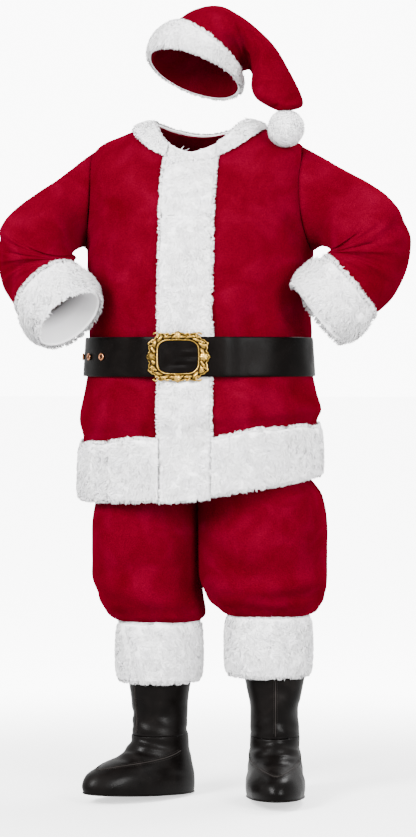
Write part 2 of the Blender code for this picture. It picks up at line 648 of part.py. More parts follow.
def leg(name):
    """The surface of one leg. The first parameter is 0 at the outer seam and -1 and 1 at the inner
    seam, and runs clockwise seen from above; the second is a row of the leg's table. Above
    the crotch the same arc stays open and meets the other leg at the middle seam."""
    table, side = LEGS[name], SIDES[name]

    def surface(round_it, row):
        round_it, row = np.broadcast_arrays(np.asarray(round_it, float), np.asarray(row, float))
        z, outer_x, inner_x, front_y, back_y = np.moveaxis(along(table, row), -1, 0)
        closed = 1.0 - np.sqrt(np.clip((z - CROTCH_Z) / (SEAT_TOP_Z - CROTCH_Z), 0.0, 1.0))
        end = math.pi / 2 * (1.0 + closed)
        end_cosine = np.cos(end) / oval_size(end, LEG_SQUARENESS)
        half = (outer_x - inner_x) / (1.0 - end_cosine)
        ahead = side * round_it
        angle = ahead * end
        oval = oval_size(angle, LEG_SQUARENESS)
        swell = leg_folds(row, ahead)
        x = inner_x - half * end_cosine + half * np.cos(angle) / oval + side * swell * np.cos(angle)
        depth = np.where(angle > 0.0, front_y, -back_y)
        y = depth * np.sin(angle) / oval - swell * np.sin(angle)
        legs = np.stack([x, y, z], axis=-1)
        turn = -angle if side > 0 else math.pi + angle
        waist_row = np.full(row.shape, WAIST_ROW)
        waist = jacket(turn, waist_row) - WAIST_IN * face_of(jacket, turn, waist_row)
        waist[..., 2] = z
        return legs + (1.0 - ease(row / 0.7))[..., None] * (waist - legs)

    return surface


def oval_size(angle, square):
    """What the cosine and sine are divided by to make a rounded oval of that squareness."""
    return (np.abs(np.cos(angle))**square + np.abs(np.sin(angle))**square)**(1.0 / square)


def trousers():
    """A front and a back for each leg, the elastic waistband and the fur at each ankle."""
    top_z = float(jacket(np.array(0.0), np.array(WAIST_ROW))[2]) - 0.0009
    rows = np.linspace(0.0, 10.0, LEG_ROWS + 1)[:, None]
    for name, side in SIDES.items():
        LEGS[name][0, 0] = top_z
        for cut, first, last in (("front", 0.0, 1.0), ("back", -1.0, 0.0)):
            steps = side * np.linspace(first, last, LEG_COLUMNS + 1)[None, :]
            round_it, level = np.broadcast_arrays(steps, rows)
            panel(f"trouser_{cut}_{name}", leg(name), round_it, level, PLUSH, "plush")


def waistband():
    """The elastic casing on the trousers' upper edge, held by the jacket and the belt."""
    turns = np.linspace(0.0, 2 * math.pi, 40, endpoint=False)
    turn, level = np.meshgrid(turns, np.array(WAISTBAND_ROWS), indexing="ij")
    face = face_of(jacket, turn, level)
    outer = jacket(turn, level) - WAIST_IN * face
    inner = outer - PLUSH * face
    outer[..., 2] = inner[..., 2] = jacket(turn, level)[..., 2]
    loops = np.concatenate([outer, inner[:, ::-1]], axis=1)
    return skin("waistband", loops, "elastic", ring=True)


# centre_x, centre_y, top_z, bottom_z, half_wide, half_deep of the inner face of each ankle's fur
ANKLE_FURS = {
    "right": (-0.0955, -0.002, 0.4115, 0.276, 0.0885, 0.0870),
    "left": (0.1585, 0.000, 0.4285, 0.293, 0.0885, 0.0870),
}
ANKLE_FUR = 0.0155


def trouser_cuff(name):
    """The wide fur band at the ankle, open for the leg."""
    centre_x, centre_y, top_z, bottom_z, half_wide, half_deep = ANKLE_FURS[name]
    share = np.linspace(0.0, 1.0, 6)
    round_it = np.linspace(0.0, 2 * math.pi, 20, endpoint=False)
    x = centre_x + half_wide * np.cos(round_it)[None, :] + np.zeros((6, 1))
    y = centre_y + half_deep * np.sin(round_it)[None, :] + np.zeros((6, 1))
    z = between(top_z, bottom_z, share)[:, None] + np.zeros((1, 20))
    rings = np.stack([x, y, z], axis=-1)
    return fur_cuff("trouser_cuff_" + name, rings, pile_depth(share, ANKLE_FUR))


# ---- boot tops ----------------------------------------------------------------------------------
# z, half_wide, half_long: the shaft from its hidden upper edge to the ankle
SHAFT = np.array((
    (0.345, 0.0853, 0.0853),
    (0.318, 0.0800, 0.0815),
    (0.290, 0.0715, 0.0770),
    (0.262, 0.0650, 0.0735),
    (0.225, 0.0580, 0.0700),
    (0.185, 0.0560, 0.0680),
    (0.150, 0.0570, 0.0690),
))
# middle, half_long, half_wide, back_z, front_z: the foot from the ankle to its lower edge
FOOT = np.array((
    (0.000, 0.0690, 0.0570, 0.1497, 0.1497),
    (0.003, 0.0790, 0.0580, 0.1120, 0.1270),
    (0.014, 0.0980, 0.0610, 0.0800, 0.1060),
    (0.036, 0.1280, 0.0650, 0.0560, 0.0880),
    (0.053, 0.1480, 0.0675, 0.0360, 0.0710),
    (0.060, 0.1550, 0.0680, 0.0220, 0.0490),
    (0.059, 0.1520, 0.0655, 0.0100, 0.0310),
))
# ankle_x, ankle_y, heading_deg from straight ahead towards the wearer's left
BOOTS = {"right": (-0.0925, -0.010, -41.5), "left": (0.1730, 0.004, 10.0)}
BOOT_RING = 16


def boot(name):
    """A boot top: a shaft whose upper edge fills the ankle's fur, and a cover for the shoe."""
    ankle_x, ankle_y, heading_deg = BOOTS[name]
    heading = math.radians(heading_deg)
    ahead = np.array((math.sin(heading), -math.cos(heading), 0.0))
    across = np.array((math.cos(heading), math.sin(heading), 0.0))
    ankle = np.array((ankle_x, ankle_y, 0.0))
    fur = ANKLE_FURS[name]
    round_it = np.linspace(0.0, 2 * math.pi, BOOT_RING, endpoint=False)
    shaft_rings = []
    for row in np.linspace(0.0, 6.0, 9):
        z, half_wide, half_long = along(SHAFT, row)
        middle = ankle + ease(1.0 - row / 2.5) * (np.array((fur[0], fur[1], 0.0)) - ankle)
        crease = 0.004 * bump(row, 4.7, 0.7) * bump(round_it, 1.0, 1.4)
        ring = middle + np.outer((half_long - crease) * np.cos(round_it), ahead)
        ring = ring + np.outer((half_wide - crease) * np.sin(round_it), across)
        ring[:, 2] = z
        shaft_rings.append(ring)
    shaft_rings[-1][:, 2] += 0.0003
    tube_wall("boot_shaft_" + name, np.array(shaft_rings), VINYL, "vinyl")
    foot_rings = []
    for row in np.linspace(0.0, 6.0, 9):
        middle, half_long, half_wide, back_z, front_z = along(FOOT, row)
        cosine, sine = np.cos(round_it), np.sin(round_it)
        narrow = 1.0 - 0.10 * ease(row / 4.0) * np.clip(-cosine, 0.0, 1.0)
        ring = ankle + np.outer(middle + half_long * cosine, ahead)
        ring = ring + np.outer(half_wide * narrow * sine, across)
        ring[:, 2] = between(back_z, front_z, 0.5 + 0.5 * cosine)
        foot_rings.append(ring)
    tube_wall("boot_foot_" + name, np.array(foot_rings), VINYL, "vinyl")


# ---- hat ----------------------------------------------------------------------------------------
HAT_TURN = math.radians(10)   # the hat flops in a plane turned this far from the body's
POMPOM_HALF = 0.0425
POMPOM_SINK = 0.0017          # the flat faces of the shoulder lie this far under its smooth form
POMPOM_ACROSS, POMPOM_Z = 0.193, 1.532
# outer_across, outer_z, inner_across, inner_z, half_deep, front_lift, behind: the hat from its lower
# edge round the fold to the tip, each ring between an outer and an inner point
HAT = np.array((
    (-0.113, 1.704, 0.086, 1.637, 0.117, 0.034, 0.010),
    (-0.102, 1.738, 0.089, 1.650, 0.120, 0.034, 0.010),
    (-0.066, 1.772, 0.091, 1.664, 0.119, 0.032, 0.008),
    (-0.018, 1.802, 0.095, 1.676, 0.112, 0.029, 0.004),
    (0.038, 1.814, 0.103, 1.682, 0.102, 0.023, 0.000),
    (0.090, 1.794, 0.112, 1.679, 0.091, 0.017, -0.008),
    (0.136, 1.758, 0.117, 1.669, 0.080, 0.011, -0.020),
    (0.178, 1.709, 0.117, 1.650, 0.070, 0.006, -0.036),
    (0.208, 1.656, 0.117, 1.626, 0.060, 0.000, -0.052),
    (0.231, 1.608, 0.127, 1.601, 0.048, 0.000, -0.066),
    (0.232, 1.582, 0.156, 1.582, 0.033, 0.000, -0.076),
    (0.209, 1.5718, 0.177, 1.5718, 0.016, 0.000, -0.080),
))
HAT_RING = 20
HAT_BAND_ROWS = (0.0, 1.9)
TIP_FORWARD_SHARES = (0.45, 0.65, 0.83, 0.95, 1.0)
HAT_ROWS = 13


def hat(round_it, row):
    """A point of the hat: round_it is 0 at the outer point, and a quarter turn on at the front."""
    round_it, row = np.broadcast_arrays(np.asarray(round_it, float), np.asarray(row, float))
    outer_a, outer_z, inner_a, inner_z, deep, lift, behind = np.moveaxis(along(HAT, row), -1, 0)
    fold = 0.016 * bump(row, 4.6, 0.9) * bump(round_it, 2.2, 1.1)
    fold = fold + 0.010 * bump(row, 7.4, 0.9) * bump(round_it, 1.7, 1.2)
    fold = fold + 0.012 * bump(row, 5.6, 1.0) * bump(round_it, 4.2, 1.2)
    cosine, sine = np.cos(round_it), np.sin(round_it)
    across = (outer_a + inner_a) / 2 + (outer_a - inner_a) / 2 * cosine
    z = (outer_z + inner_z) / 2 + (outer_z - inner_z) / 2 * cosine + lift * sine
    forward = (deep - fold) * sine - behind
    x = across * math.cos(HAT_TURN) + forward * math.sin(HAT_TURN)
    y = across * math.sin(HAT_TURN) - forward * math.cos(HAT_TURN)
    return np.stack([x, y, z], axis=-1)


def pompom_centre(forward):
    """Where the pompom's middle is, when the hat's tip is that far forward."""
    return np.array((POMPOM_ACROSS * math.cos(HAT_TURN) + forward * math.sin(HAT_TURN),
                     POMPOM_ACROSS * math.sin(HAT_TURN) - forward * math.cos(HAT_TURN), POMPOM_Z))


def pompom_forward():
    """How far forward the pompom just clears the slope of the shoulder that it rests on."""
    turn, level = np.meshgrid(np.radians(np.arange(-90.0, 31.0, 3.0)), np.arange(8.0, 12.01, 0.1))
    shoulder = jacket(turn, level).reshape(-1, 3)
    forward = 0.05
    while np.min(np.linalg.norm(shoulder - pompom_centre(forward), axis=-1)) < POMPOM_HALF - POMPOM_SINK:
        forward += 0.0005
    return forward


def build_hat():
    """The cone of the hat, its fur band and the pompom on the wearer's left shoulder."""
    HAT[-5:, 6] = -pompom_forward() * np.array(TIP_FORWARD_SHARES)
    round_it = np.linspace(0.0, 2 * math.pi, HAT_RING, endpoint=False)
    band_rows = between(*HAT_BAND_ROWS, np.linspace(0.0, 1.0, 7))
    rows = np.concatenate([band_rows, np.linspace(2.3, len(HAT) - 1.0, HAT_ROWS)])
    outer = np.array([hat(round_it, row) for row in rows])
    tube_wall("hat_cone", outer, PLUSH, "plush")
    share = np.linspace(0.0, 1.0, 7)
    level, turn = np.meshgrid(band_rows + 0.06 * (share - 0.8), round_it)
    face = face_of(hat, turn, level)
    under = hat(turn, level) + 0.0012 * face
    over = under + pile_depth(share, 0.014)[None, :, None] * face
    skin("hat_band_fur", np.concatenate([over, under[:, ::-1]], axis=1), "fur", ring=True)
    centre = pompom_centre(pompom_forward()) - np.array((0.0, 0.0, SHOULDER_HEIGHT))
    bpy.ops.mesh.primitive_uv_sphere_add(segments=16, ring_count=10, radius=POMPOM_HALF,
                                         location=tuple(centre))
    ball = bpy.context.object
    mesh = ball.data
    bpy.data.objects.remove(ball, do_unlink=True)
    made = place("pompom", mesh, "fur")
    made.location = tuple(centre)


trousers()
waistband()
for which in SIDES:
    trouser_cuff(which)
    boot(which)
build_hat()
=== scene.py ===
"""A santa suit as worn: plush jacket, trousers and hat, fur trims, belt and boot tops."""
import math

import bpy
import numpy as np
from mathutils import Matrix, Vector


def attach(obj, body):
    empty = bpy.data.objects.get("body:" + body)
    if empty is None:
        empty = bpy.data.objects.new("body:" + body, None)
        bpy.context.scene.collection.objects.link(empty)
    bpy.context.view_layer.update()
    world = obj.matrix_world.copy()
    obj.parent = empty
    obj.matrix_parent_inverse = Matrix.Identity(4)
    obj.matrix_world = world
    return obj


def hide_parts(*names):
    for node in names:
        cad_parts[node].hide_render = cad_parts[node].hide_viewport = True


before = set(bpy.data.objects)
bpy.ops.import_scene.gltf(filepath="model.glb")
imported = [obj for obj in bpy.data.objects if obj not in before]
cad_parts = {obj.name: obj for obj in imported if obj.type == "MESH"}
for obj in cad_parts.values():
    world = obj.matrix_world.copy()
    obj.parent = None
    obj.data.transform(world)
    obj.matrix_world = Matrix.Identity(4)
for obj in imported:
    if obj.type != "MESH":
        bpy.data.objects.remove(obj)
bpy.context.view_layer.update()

# ---- sizes, in metres ----------------------------------------------------------------------------
SHOULDER_HEIGHT = 1.42        # of the origin above the ground
PLUSH = 0.003                 # thickness of the red plush
WALL_SHARE = 0.8              # the shown wall's share of its material's thickness
LEATHER = 0.0032              # thickness of the belt's strap
FUR, FUR_EDGE = 0.016, 0.004  # depth of the white pile, and at its sewn edges
THIN_FUR = 0.014              # depth of the pile at the neck and round the hat
CLOTH_STEP = 0.0080           # spacing of the points on the cloth
FUR_STEP = 0.0070             # spacing of the points on the fur's backing
SIDES = {"right": -1.0, "left": 1.0}
RNG = np.random.default_rng(24)

# half_width, side_z, front_y, front_z, back_y, back_z, squareness: the jacket from hem to neck
JACKET = np.array((
    (0.270, 0.722, -0.194, 0.702, 0.170, 0.718, 2.2),
    (0.268, 0.842, -0.194, 0.836, 0.168, 0.842, 2.2),
    (0.279, 0.888, -0.204, 0.885, 0.176, 0.888, 2.2),
    (0.266, 0.945, -0.196, 0.943, 0.168, 0.945, 2.2),
    (0.256, 1.019, -0.186, 1.019, 0.160, 1.019, 2.2),
    (0.256, 1.088, -0.193, 1.088, 0.164, 1.088, 2.2),
    (0.256, 1.170, -0.192, 1.168, 0.166, 1.170, 2.2),
    (0.260, 1.250, -0.184, 1.245, 0.166, 1.250, 2.3),
    (0.261, 1.345, -0.174, 1.330, 0.164, 1.345, 2.6),
    (0.256, 1.430, -0.158, 1.393, 0.156, 1.420, 2.7),
    (0.238, 1.497, -0.140, 1.430, 0.138, 1.475, 2.6),
    (0.170, 1.532, -0.122, 1.453, 0.106, 1.508, 2.2),
    (0.104, 1.552, -0.104, 1.472, 0.080, 1.530, 2.0),
))
FUR_TOP_ROW, NECK_ROW = 1.0, 12.0
HEM_TILT, LEVEL_ROW = 0.10, 3.5         # the hem's slope to one side, gone by this row
RIDGE_WIDTH = 2               # ridges are this much wider than their half turn
BAND_HALF, BAND_END_ROW = 0.058, -0.06
ARMHOLE_MIDDLE, ARMHOLE_REACH = 8.55, 1.45
ARMHOLE_TURN, ARMHOLE_FORWARD = math.radians(27), math.radians(3)
FRONT_TURN = -math.pi / 2


def between(low, high, share):
    """The value a share of the way from low to high."""
    return low + (high - low) * share


def ease(value):
    """0 below 0, 1 above 1 and a soft step between: 3 v^2 - 2 v^3."""
    step = np.clip(value, 0.0, 1.0)
    return step * step * (3.0 - 2.0 * step)


def bump(value, middle, half_width):
    """A soft hill: half of 1 + cos, 1 at the middle and gone a half width away."""
    reach = np.clip(np.abs(np.asarray(value) - middle) / half_width, 0.0, 1.0)
    return 0.5 + 0.5 * np.cos(np.pi * reach)


def cubic(start, end, leaving, arriving, share):
    """The cubic curve from start to end, with its slopes at both."""
    return ((2 * share**3 - 3 * share**2 + 1) * start + (share**3 - 2 * share**2 + share) * leaving
            + (3 * share**2 - 2 * share**3) * end + (share**3 - share**2) * arriving)


def along(table, row):
    """The table's values at a fractional row, on the cubic curve through its rows."""
    row = np.asarray(row, float)
    last = len(table) - 1
    first = np.clip(np.floor(row).astype(int), 0, last - 1)
    share = (row - first)[..., None]
    before = table[np.maximum(first - 1, 0)]
    start, end = table[first], table[first + 1]
    after = table[np.minimum(first + 2, last)]
    return cubic(start, end, (end - before) / 2.0, (after - start) / 2.0, share)


def unit(vectors):
    """The vectors at length 1."""
    vectors = np.asarray(vectors, float)
    return vectors / np.maximum(np.linalg.norm(vectors, axis=-1, keepdims=True), 1e-9)


def face_of(surface, first, second, step=1e-3):
    """The outward direction: the cross product of the surface's two slopes."""
    across = surface(first + step, second) - surface(first - step, second)
    upward = surface(first, second + step) - surface(first, second - step)
    return unit(np.cross(across, upward))


def circle(count):
    """Angles once round, the last one short of the first."""
    return np.linspace(0.0, 2 * math.pi, count, endpoint=False)


def paired(first, second):
    """Two parameters of a surface as number arrays of one shape."""
    return np.broadcast_arrays(np.asarray(first, float), np.asarray(second, float))


def run_along(path):
    """The distance run along a path at each of its points."""
    return np.concatenate([[0.0], np.cumsum(np.linalg.norm(np.diff(path, axis=0), axis=-1))])


def oval_size(angle, square):
    """What the cosine and sine are divided by for a rounded oval |cos|^n + |sin|^n = 1."""
    return (np.abs(np.cos(angle))**square + np.abs(np.sin(angle))**square)**(1.0 / square)


def leaning_hills(table, turn, row, widen):
    """Height of hills and troughs in angle and level, which lean as they rise."""
    height = np.zeros_like(row)
    for turn_deg, half_deg, middle, half_rows, lean, high in table:
        across = (np.degrees(turn) - turn_deg - lean * (row - middle) + 180.0) % 360.0 - 180.0
        height = height + high * bump(across, 0.0, widen * half_deg) * bump(row, middle, half_rows)
    return height


def waves(points, length, seed):
    """A smooth unsteady value from -1 to 1: the mean of six sine waves through space."""
    turns = np.random.default_rng(seed)
    heading = unit(turns.normal(size=(6, 3)))
    phase = turns.uniform(0.0, 2 * math.pi, 6)
    pace = 2 * math.pi / (length * turns.uniform(0.7, 1.5, 6))
    return np.sin(points @ (heading * pace[:, None]).T + phase).mean(axis=-1) * 1.6


# ---- jacket --------------------------------------------------------------------------------------
# turn_deg, half_turn_deg, row, half_rows, lean_deg_per_row, height: the broad ridges
JACKET_FOLDS = (
    (-128, 9, 5.6, 1.0, 4.0, 0.007), (-112, 7, 5.2, 0.8, 2.0, 0.005), (-66, 8, 5.5, 1.0, -3.0, 0.007),
    (-42, 8, 5.2, 0.8, -4.0, 0.006), (-134, 10, 2.9, 0.8, -5.0, 0.006), (-60, 9, 2.8, 0.8, 5.0, 0.006),
    (-150, 9, 6.8, 1.1, 9.0, 0.008), (-30, 9, 6.8, 1.1, -9.0, 0.008), (60, 10, 5.5, 1.0, 5.0, 0.007),
    (118, 10, 5.4, 1.1, -6.0, 0.008), (92, 8, 5.2, 0.8, 0.0, 0.005), (75, 9, 2.8, 0.8, -4.0, 0.006),
    (125, 9, 2.9, 0.8, 4.0, 0.007), (150, 9, 6.9, 1.2, -8.0, 0.008), (32, 9, 6.9, 1.2, 8.0, 0.008),
)


def jacket(turn, row):
    """A point of the jacket: a rounded oval (|cos|^n + |sin|^n = 1) at each level, whose front
    and back halves have their own depth and height; turn -90 degrees is the front."""
    turn, row = paired(turn, row)
    half_width, side_z, front_y, front_z, back_y, back_z, square = np.moveaxis(
        along(JACKET, row), -1, 0)
    cosine, sine, oval = np.cos(turn), np.sin(turn), oval_size(turn, square)
    ahead, behind = np.clip(-sine, 0.0, 1.0), np.clip(sine, 0.0, 1.0)
    x = half_width * cosine / oval
    y = (front_y * ahead + back_y * behind) / oval
    z = side_z + (front_z - side_z) * ahead**2 + (back_z - side_z) * behind**2
    z = z + HEM_TILT * x * (1.0 - ease(row / LEVEL_ROW))
    swell = leaning_hills(JACKET_FOLDS, turn, row, RIDGE_WIDTH)
    return np.stack([x + swell * cosine, y + swell * sine, z], axis=-1)


# ---- making pieces -------------------------------------------------------------------------------
def put(name, data):
    """A new object in the scene."""
    made = bpy.data.objects.new(name, data)
    bpy.context.scene.collection.objects.link(made)
    return made


def piece(name, points, faces, finish, stands_for=(), tints=None, lit=None):
    """Points (heights above the ground) and faces, as a smooth object of the suit in the frame.
    tints holds a value for each point that the finish reads as the attribute "shade", and lit
    holds the direction that each point is shaded as facing."""
    mesh = bpy.data.meshes.new(name)
    points = np.asarray(points, float).reshape(-1, 3) - (0.0, 0.0, SHOULDER_HEIGHT)
    faces = np.asarray(faces)
    mesh.vertices.add(len(points))
    mesh.vertices.foreach_set("co", points.ravel().astype(np.float32))
    corners = faces.shape[1]
    mesh.loops.add(faces.size)
    mesh.loops.foreach_set("vertex_index", faces.ravel().astype(np.int32))
    mesh.polygons.add(len(faces))
    mesh.polygons.foreach_set("loop_start", np.arange(len(faces), dtype=np.int32) * corners)
    if tints is not None:
        shade = mesh.attributes.new("shade", "FLOAT", "POINT")
        shade.data.foreach_set("value", np.asarray(tints, np.float32).ravel())
    mesh.update(calc_edges=True)
    mesh.polygons.foreach_set("use_smooth", np.ones(len(faces), bool))
    if lit is not None:
        mesh.normals_split_custom_set_from_vertices(lit.reshape(-1, 3))
    mesh.materials.append(finish)
    made = put(name, mesh)
    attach(made, "root")
    if stands_for:
        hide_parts(*stands_for)
    return made


def closed(grid):
    """A grid round a tube, with its first column repeated as its last."""
    return np.concatenate([grid, grid[:, :1]], axis=1)


def cell_areas(grid):
    """The areas of the cells of a grid of points."""
    side_a, side_b = grid[1:, :-1] - grid[:-1, :-1], grid[:-1, 1:] - grid[:-1, :-1]
    return np.linalg.norm(np.cross(side_a, side_b), axis=-1)


def quads(rows, columns, ring=False, offset=0):
    """The four-cornered faces of a grid of points; a ring joins its last column to its first."""
    row, column = np.meshgrid(np.arange(rows - 1), np.arange(columns if ring else columns - 1),
                              indexing="ij")
    onward = (column + 1) % columns
    corners = np.stack([row * columns + column, row * columns + onward,
                        (row + 1) * columns + onward, (row + 1) * columns + column], axis=-1)
    return corners.reshape(-1, 4) + offset


def wall_faces(rows, columns, ring):
    """The faces of a wall: an outer grid, then an inner grid turned round, joined at the edges."""
    count = rows * columns
    outer = quads(rows, columns, ring)
    inner = quads(rows, columns, ring, count)[:, ::-1]
    number = np.arange(count).reshape(rows, columns)
    rims = [number[0], number[-1][::-1]]
    if not ring:
        rims += [number[:, 0][::-1], number[:, -1]]
    strips = []
    for rim in rims:
        start, end = (rim, np.roll(rim, -1)) if ring else (rim[:-1], rim[1:])
        strips.append(np.stack([end, start, start + count, end + count], axis=-1))
    return np.concatenate([outer, inner] + strips)


def turned_out(points, faces):
    """The faces of a closed body, reversed if the space that they enclose comes out negative."""
    corner = points[faces]
    volume = sum(np.sum(corner[:, 0] * np.cross(corner[:, place], corner[:, place + 1]))
                 for place in range(1, faces.shape[1] - 1))
    return faces[:, ::-1] if volume < 0.0 else faces


def wall(name, outer, inner, finish, ring, stands_for=(), tints=None, inner_painted_shade=None):
    """A closed wall between two grids of points, with its faces turned outwards."""
    rows, columns, _ = outer.shape
    points = np.concatenate([outer.reshape(-1, 3), inner.reshape(-1, 3)])
    faces = turned_out(points, wall_faces(rows, columns, ring))
    if tints is not None:
        tints = np.concatenate([tints.ravel(), (tints if inner_painted_shade is None else inner_painted_shade).ravel()])
    return piece(name, points, faces, finish, stands_for, tints)


def grid_face(points, ring=False):
    """Directions at right angles to a grid of points: the cross product of its two slopes."""
    if ring:
        across = np.roll(points, -1, axis=1) - np.roll(points, 1, axis=1)
    else:
        across = np.gradient(points, axis=1)
    return unit(np.cross(across, np.gradient(points, axis=0)))


def ring_face(points):
    """The directions at right angles to the rings of a tube, away from its middle line."""
    face = grid_face(points, ring=True)
    return face if np.sum(face * (points - points.mean(axis=1, keepdims=True))) > 0.0 else -face


def edge_reach(points, ring=False):
    """Each point's distance along the cloth to the nearest cut edge of its grid."""
    down = np.linalg.norm(np.diff(points, axis=0), axis=-1)
    from_top = np.concatenate([np.zeros((1, points.shape[1])), np.cumsum(down, axis=0)])
    reach = np.minimum(from_top, from_top[-1] - from_top)
    if not ring:
        over = np.linalg.norm(np.diff(points, axis=1), axis=-1)
        from_left = np.concatenate([np.zeros((len(points), 1)), np.cumsum(over, axis=1)], axis=1)
        reach = np.minimum(reach, np.minimum(from_left, from_left[:, -1:] - from_left))
    return reach


SEAM_DIP, SEAM_HALF_WIDTH = 0.0007, 0.0050    # the cloth sinks into its seams
CLOTH_RUMPLE, HAT_RUMPLE = 0.0012, 0.0016     # how far the cloth is uneven, and the hat's


def seamed(points, face, ring=False):
    """The cloth pulled in along its seams, by a hill of exp(-(distance / width)^2)."""
    reach = edge_reach(points, ring)
    return points - (SEAM_DIP * np.exp(-(reach / SEAM_HALF_WIDTH)**2))[..., None] * face


def rumpled(points, face, seed, depth):
    """Cloth with a soft unevenness of two sizes."""
    rise = depth * waves(points, 0.11, seed) + 0.45 * depth * waves(points, 0.045, seed + 1)
    return points + rise[..., None] * face


# ---- fur -----------------------------------------------------------------------------------------
LOCK_WIDE = 0.00103           # half width of a lock of fur at its root
CLUMP = 0.0125                # the locks lean together in clumps of about this size
CLUMP_WANDER, CLUMP_LIMIT = 0.004, 0.05  # clumps' edges wander by this, and no clump is longer than that
SWAY, STRAY, DRIFT = 0.42, 0.22, 0.5     # how far clumps, single locks and whole patches lean aside
LOCK_LENGTHS, TIP_HEIGHTS = (0.75, 1.15), (0.88, 1.08)  # in pile depths
FOOT_HEIGHT, BEND_HEIGHT, CLUMP_HEIGHT = 0.50, 0.80, 1.02  # over the root, in pile depths
BEND_REACH, TIP_REACH, CLUMP_REACH = 0.20, 0.75, 0.65      # along the heading, in lock lengths
GATHER = 0.40                 # how far a tip is drawn to the one that its clump leans to


def seeds(grid, face, depth, comb, count):
    """Places on a grid of points, picked by the area of its cells: position, outward direction,
    pile depth and combing direction at each."""
    area = cell_areas(grid).ravel()
    cell = RNG.choice(len(area), size=count, p=area / area.sum())
    row, column = np.divmod(cell, grid.shape[1] - 1)
    down, over = RNG.random((2, count, 1))

    def at(values):
        return (values[row, column] * (1 - down) * (1 - over) + values[row + 1, column] * down * (1 - over)
                + values[row, column + 1] * (1 - down) * over + values[row + 1, column + 1] * down * over)
    return at(grid), unit(at(face)), at(depth[..., None]), unit(at(comb))


def locks(name, root, face, depth, comb, long=1.0, lean=0.75):
    """Locks of fur: thin tapering blades that rise from the root, bend along the combing
    direction and draw together, so that the tips of a clump meet."""
    count = len(root)
    across = unit(np.cross(face, comb))
    key = np.stack([np.sum(root * heading, axis=-1) + CLUMP_WANDER * waves(root, 0.03, seed)
                    for heading, seed in ((comb, 5), (across, 6))], axis=-1)
    cell = np.concatenate([np.round(key / CLUMP), np.round(root / CLUMP_LIMIT)], axis=1).astype(int)
    clump = np.unique(cell, axis=0, return_inverse=True)[1].ravel()
    members = np.bincount(clump)[:, None]
    centre = np.stack([np.bincount(clump, weights=root[:, axis]) for axis in range(3)], axis=-1) / members
    sway = RNG.normal(size=(len(centre), 3))[clump]
    heading = unit(comb * lean + SWAY * sway + STRAY * RNG.normal(size=(count, 3))
                   + DRIFT * np.stack([waves(root, 0.07, seed) for seed in (11, 12, 13)], axis=-1))
    heading = unit(heading - np.sum(heading * face, axis=-1, keepdims=True) * face)
    length = depth * long * RNG.uniform(*LOCK_LENGTHS, (count, 1))
    middle = root + face * depth * BEND_HEIGHT + heading * length * BEND_REACH
    tip = root + face * depth * RNG.uniform(*TIP_HEIGHTS, (count, 1)) + heading * length * TIP_REACH
    tip = tip + GATHER * (centre[clump] + face * depth * CLUMP_HEIGHT + heading * length * CLUMP_REACH - tip)
    turn = RNG.uniform(-1.0, 1.0, (count, 1))
    ray = np.cos(turn) * np.cross(heading, face) + np.sin(turn) * face
    ray = LOCK_WIDE * RNG.uniform(0.7, 1.2, (count, 1)) * ray
    foot = root + face * depth * FOOT_HEIGHT
    points = np.stack([foot - ray, foot + ray, middle - 0.85 * ray, middle + 0.85 * ray, tip], axis=1)
    pattern = np.array(((0, 1, 3), (0, 3, 2), (2, 3, 4)))
    faces = (pattern[None] + 5 * np.arange(count)[:, None, None]).reshape(-1, 3)
    # painted shade: each lock is painted darker at its root and lighter up to its tip; how light a clump's
    # tips are differs at random
    tuft = RNG.uniform(0.55, 1.0, len(centre))[clump][:, None]
    tints = 0.30 + np.array(((0.0, 0.0, 0.45, 0.45, 0.70),)) * tuft * RNG.uniform(0.85, 1.0, (count, 1))
    lit = unit(face + 0.30 * heading + 0.22 * RNG.normal(size=(count, 3)))
    return piece(name, points, faces, WHITE_FUR, tints=tints,
                 lit=np.repeat(lit[:, None], 5, axis=1))


def group(name, inputs, outputs):
    """An empty shader group with number inputs and named outputs."""
    made = bpy.data.node_groups.new(name, "ShaderNodeTree")
    for label, start in inputs:
        kind = "NodeSocketVector" if start is None else "NodeSocketFloat"
        socket = made.interface.new_socket(name=label, in_out="INPUT", socket_type=kind)
        if start is not None:
            socket.default_value = start
    for label, kind in outputs:
        made.interface.new_socket(name=label, in_out="OUTPUT", socket_type=kind)
    return made


def node(tree, kind, links=(), **values):
    """A node with its settings and its inputs: links are (input, output socket) pairs."""
    made = tree.nodes.new(kind)
    for label, value in values.items():
        if hasattr(made, label):
            setattr(made, label, value)
        else:
            made.inputs[label.replace("_", " ")].default_value = value
    for label, socket in links:
        tree.links.new(socket, made.inputs[label])
    return made


def mottle_group():
    """Soft mottling: a large noise for the way that the nap lies and a small one for its grain."""
    made = group("mottle", (("Vector", None), ("Patch Scale", 14.0), ("Grain Scale", 260.0)),
                 (("Patch", "NodeSocketFloat"), ("Grain", "NodeSocketFloat")))
    entry = made.nodes.new("NodeGroupInput")
    patch = node(made, "ShaderNodeTexNoise", [("Vector", entry.outputs["Vector"]),
                                              ("Scale", entry.outputs["Patch Scale"])],
                 Detail=3.0, Roughness=0.55, Distortion=0.6)
    grain = node(made, "ShaderNodeTexNoise", [("Vector", entry.outputs["Vector"]),
                                              ("Scale", entry.outputs["Grain Scale"])],
                 Detail=2.0, Roughness=0.6)
    leave = made.nodes.new("NodeGroupOutput")
    made.links.new(patch.outputs["Fac"], leave.inputs["Patch"])
    made.links.new(grain.outputs["Fac"], leave.inputs["Grain"])
    return made


MOTTLE = mottle_group()


def finish(name, roughness, metallic=0.0, **sockets):
    """A Principled material; sockets are set on the shader itself."""
    made = bpy.data.materials.new(name)
    made.use_nodes = True
    shader = made.node_tree.nodes["Principled BSDF"]
    shader.inputs["Roughness"].default_value = roughness
    shader.inputs["Metallic"].default_value = metallic
    for label, value in sockets.items():
        shader.inputs[label.replace("_", " ")].default_value = value
    return made, made.node_tree, shader


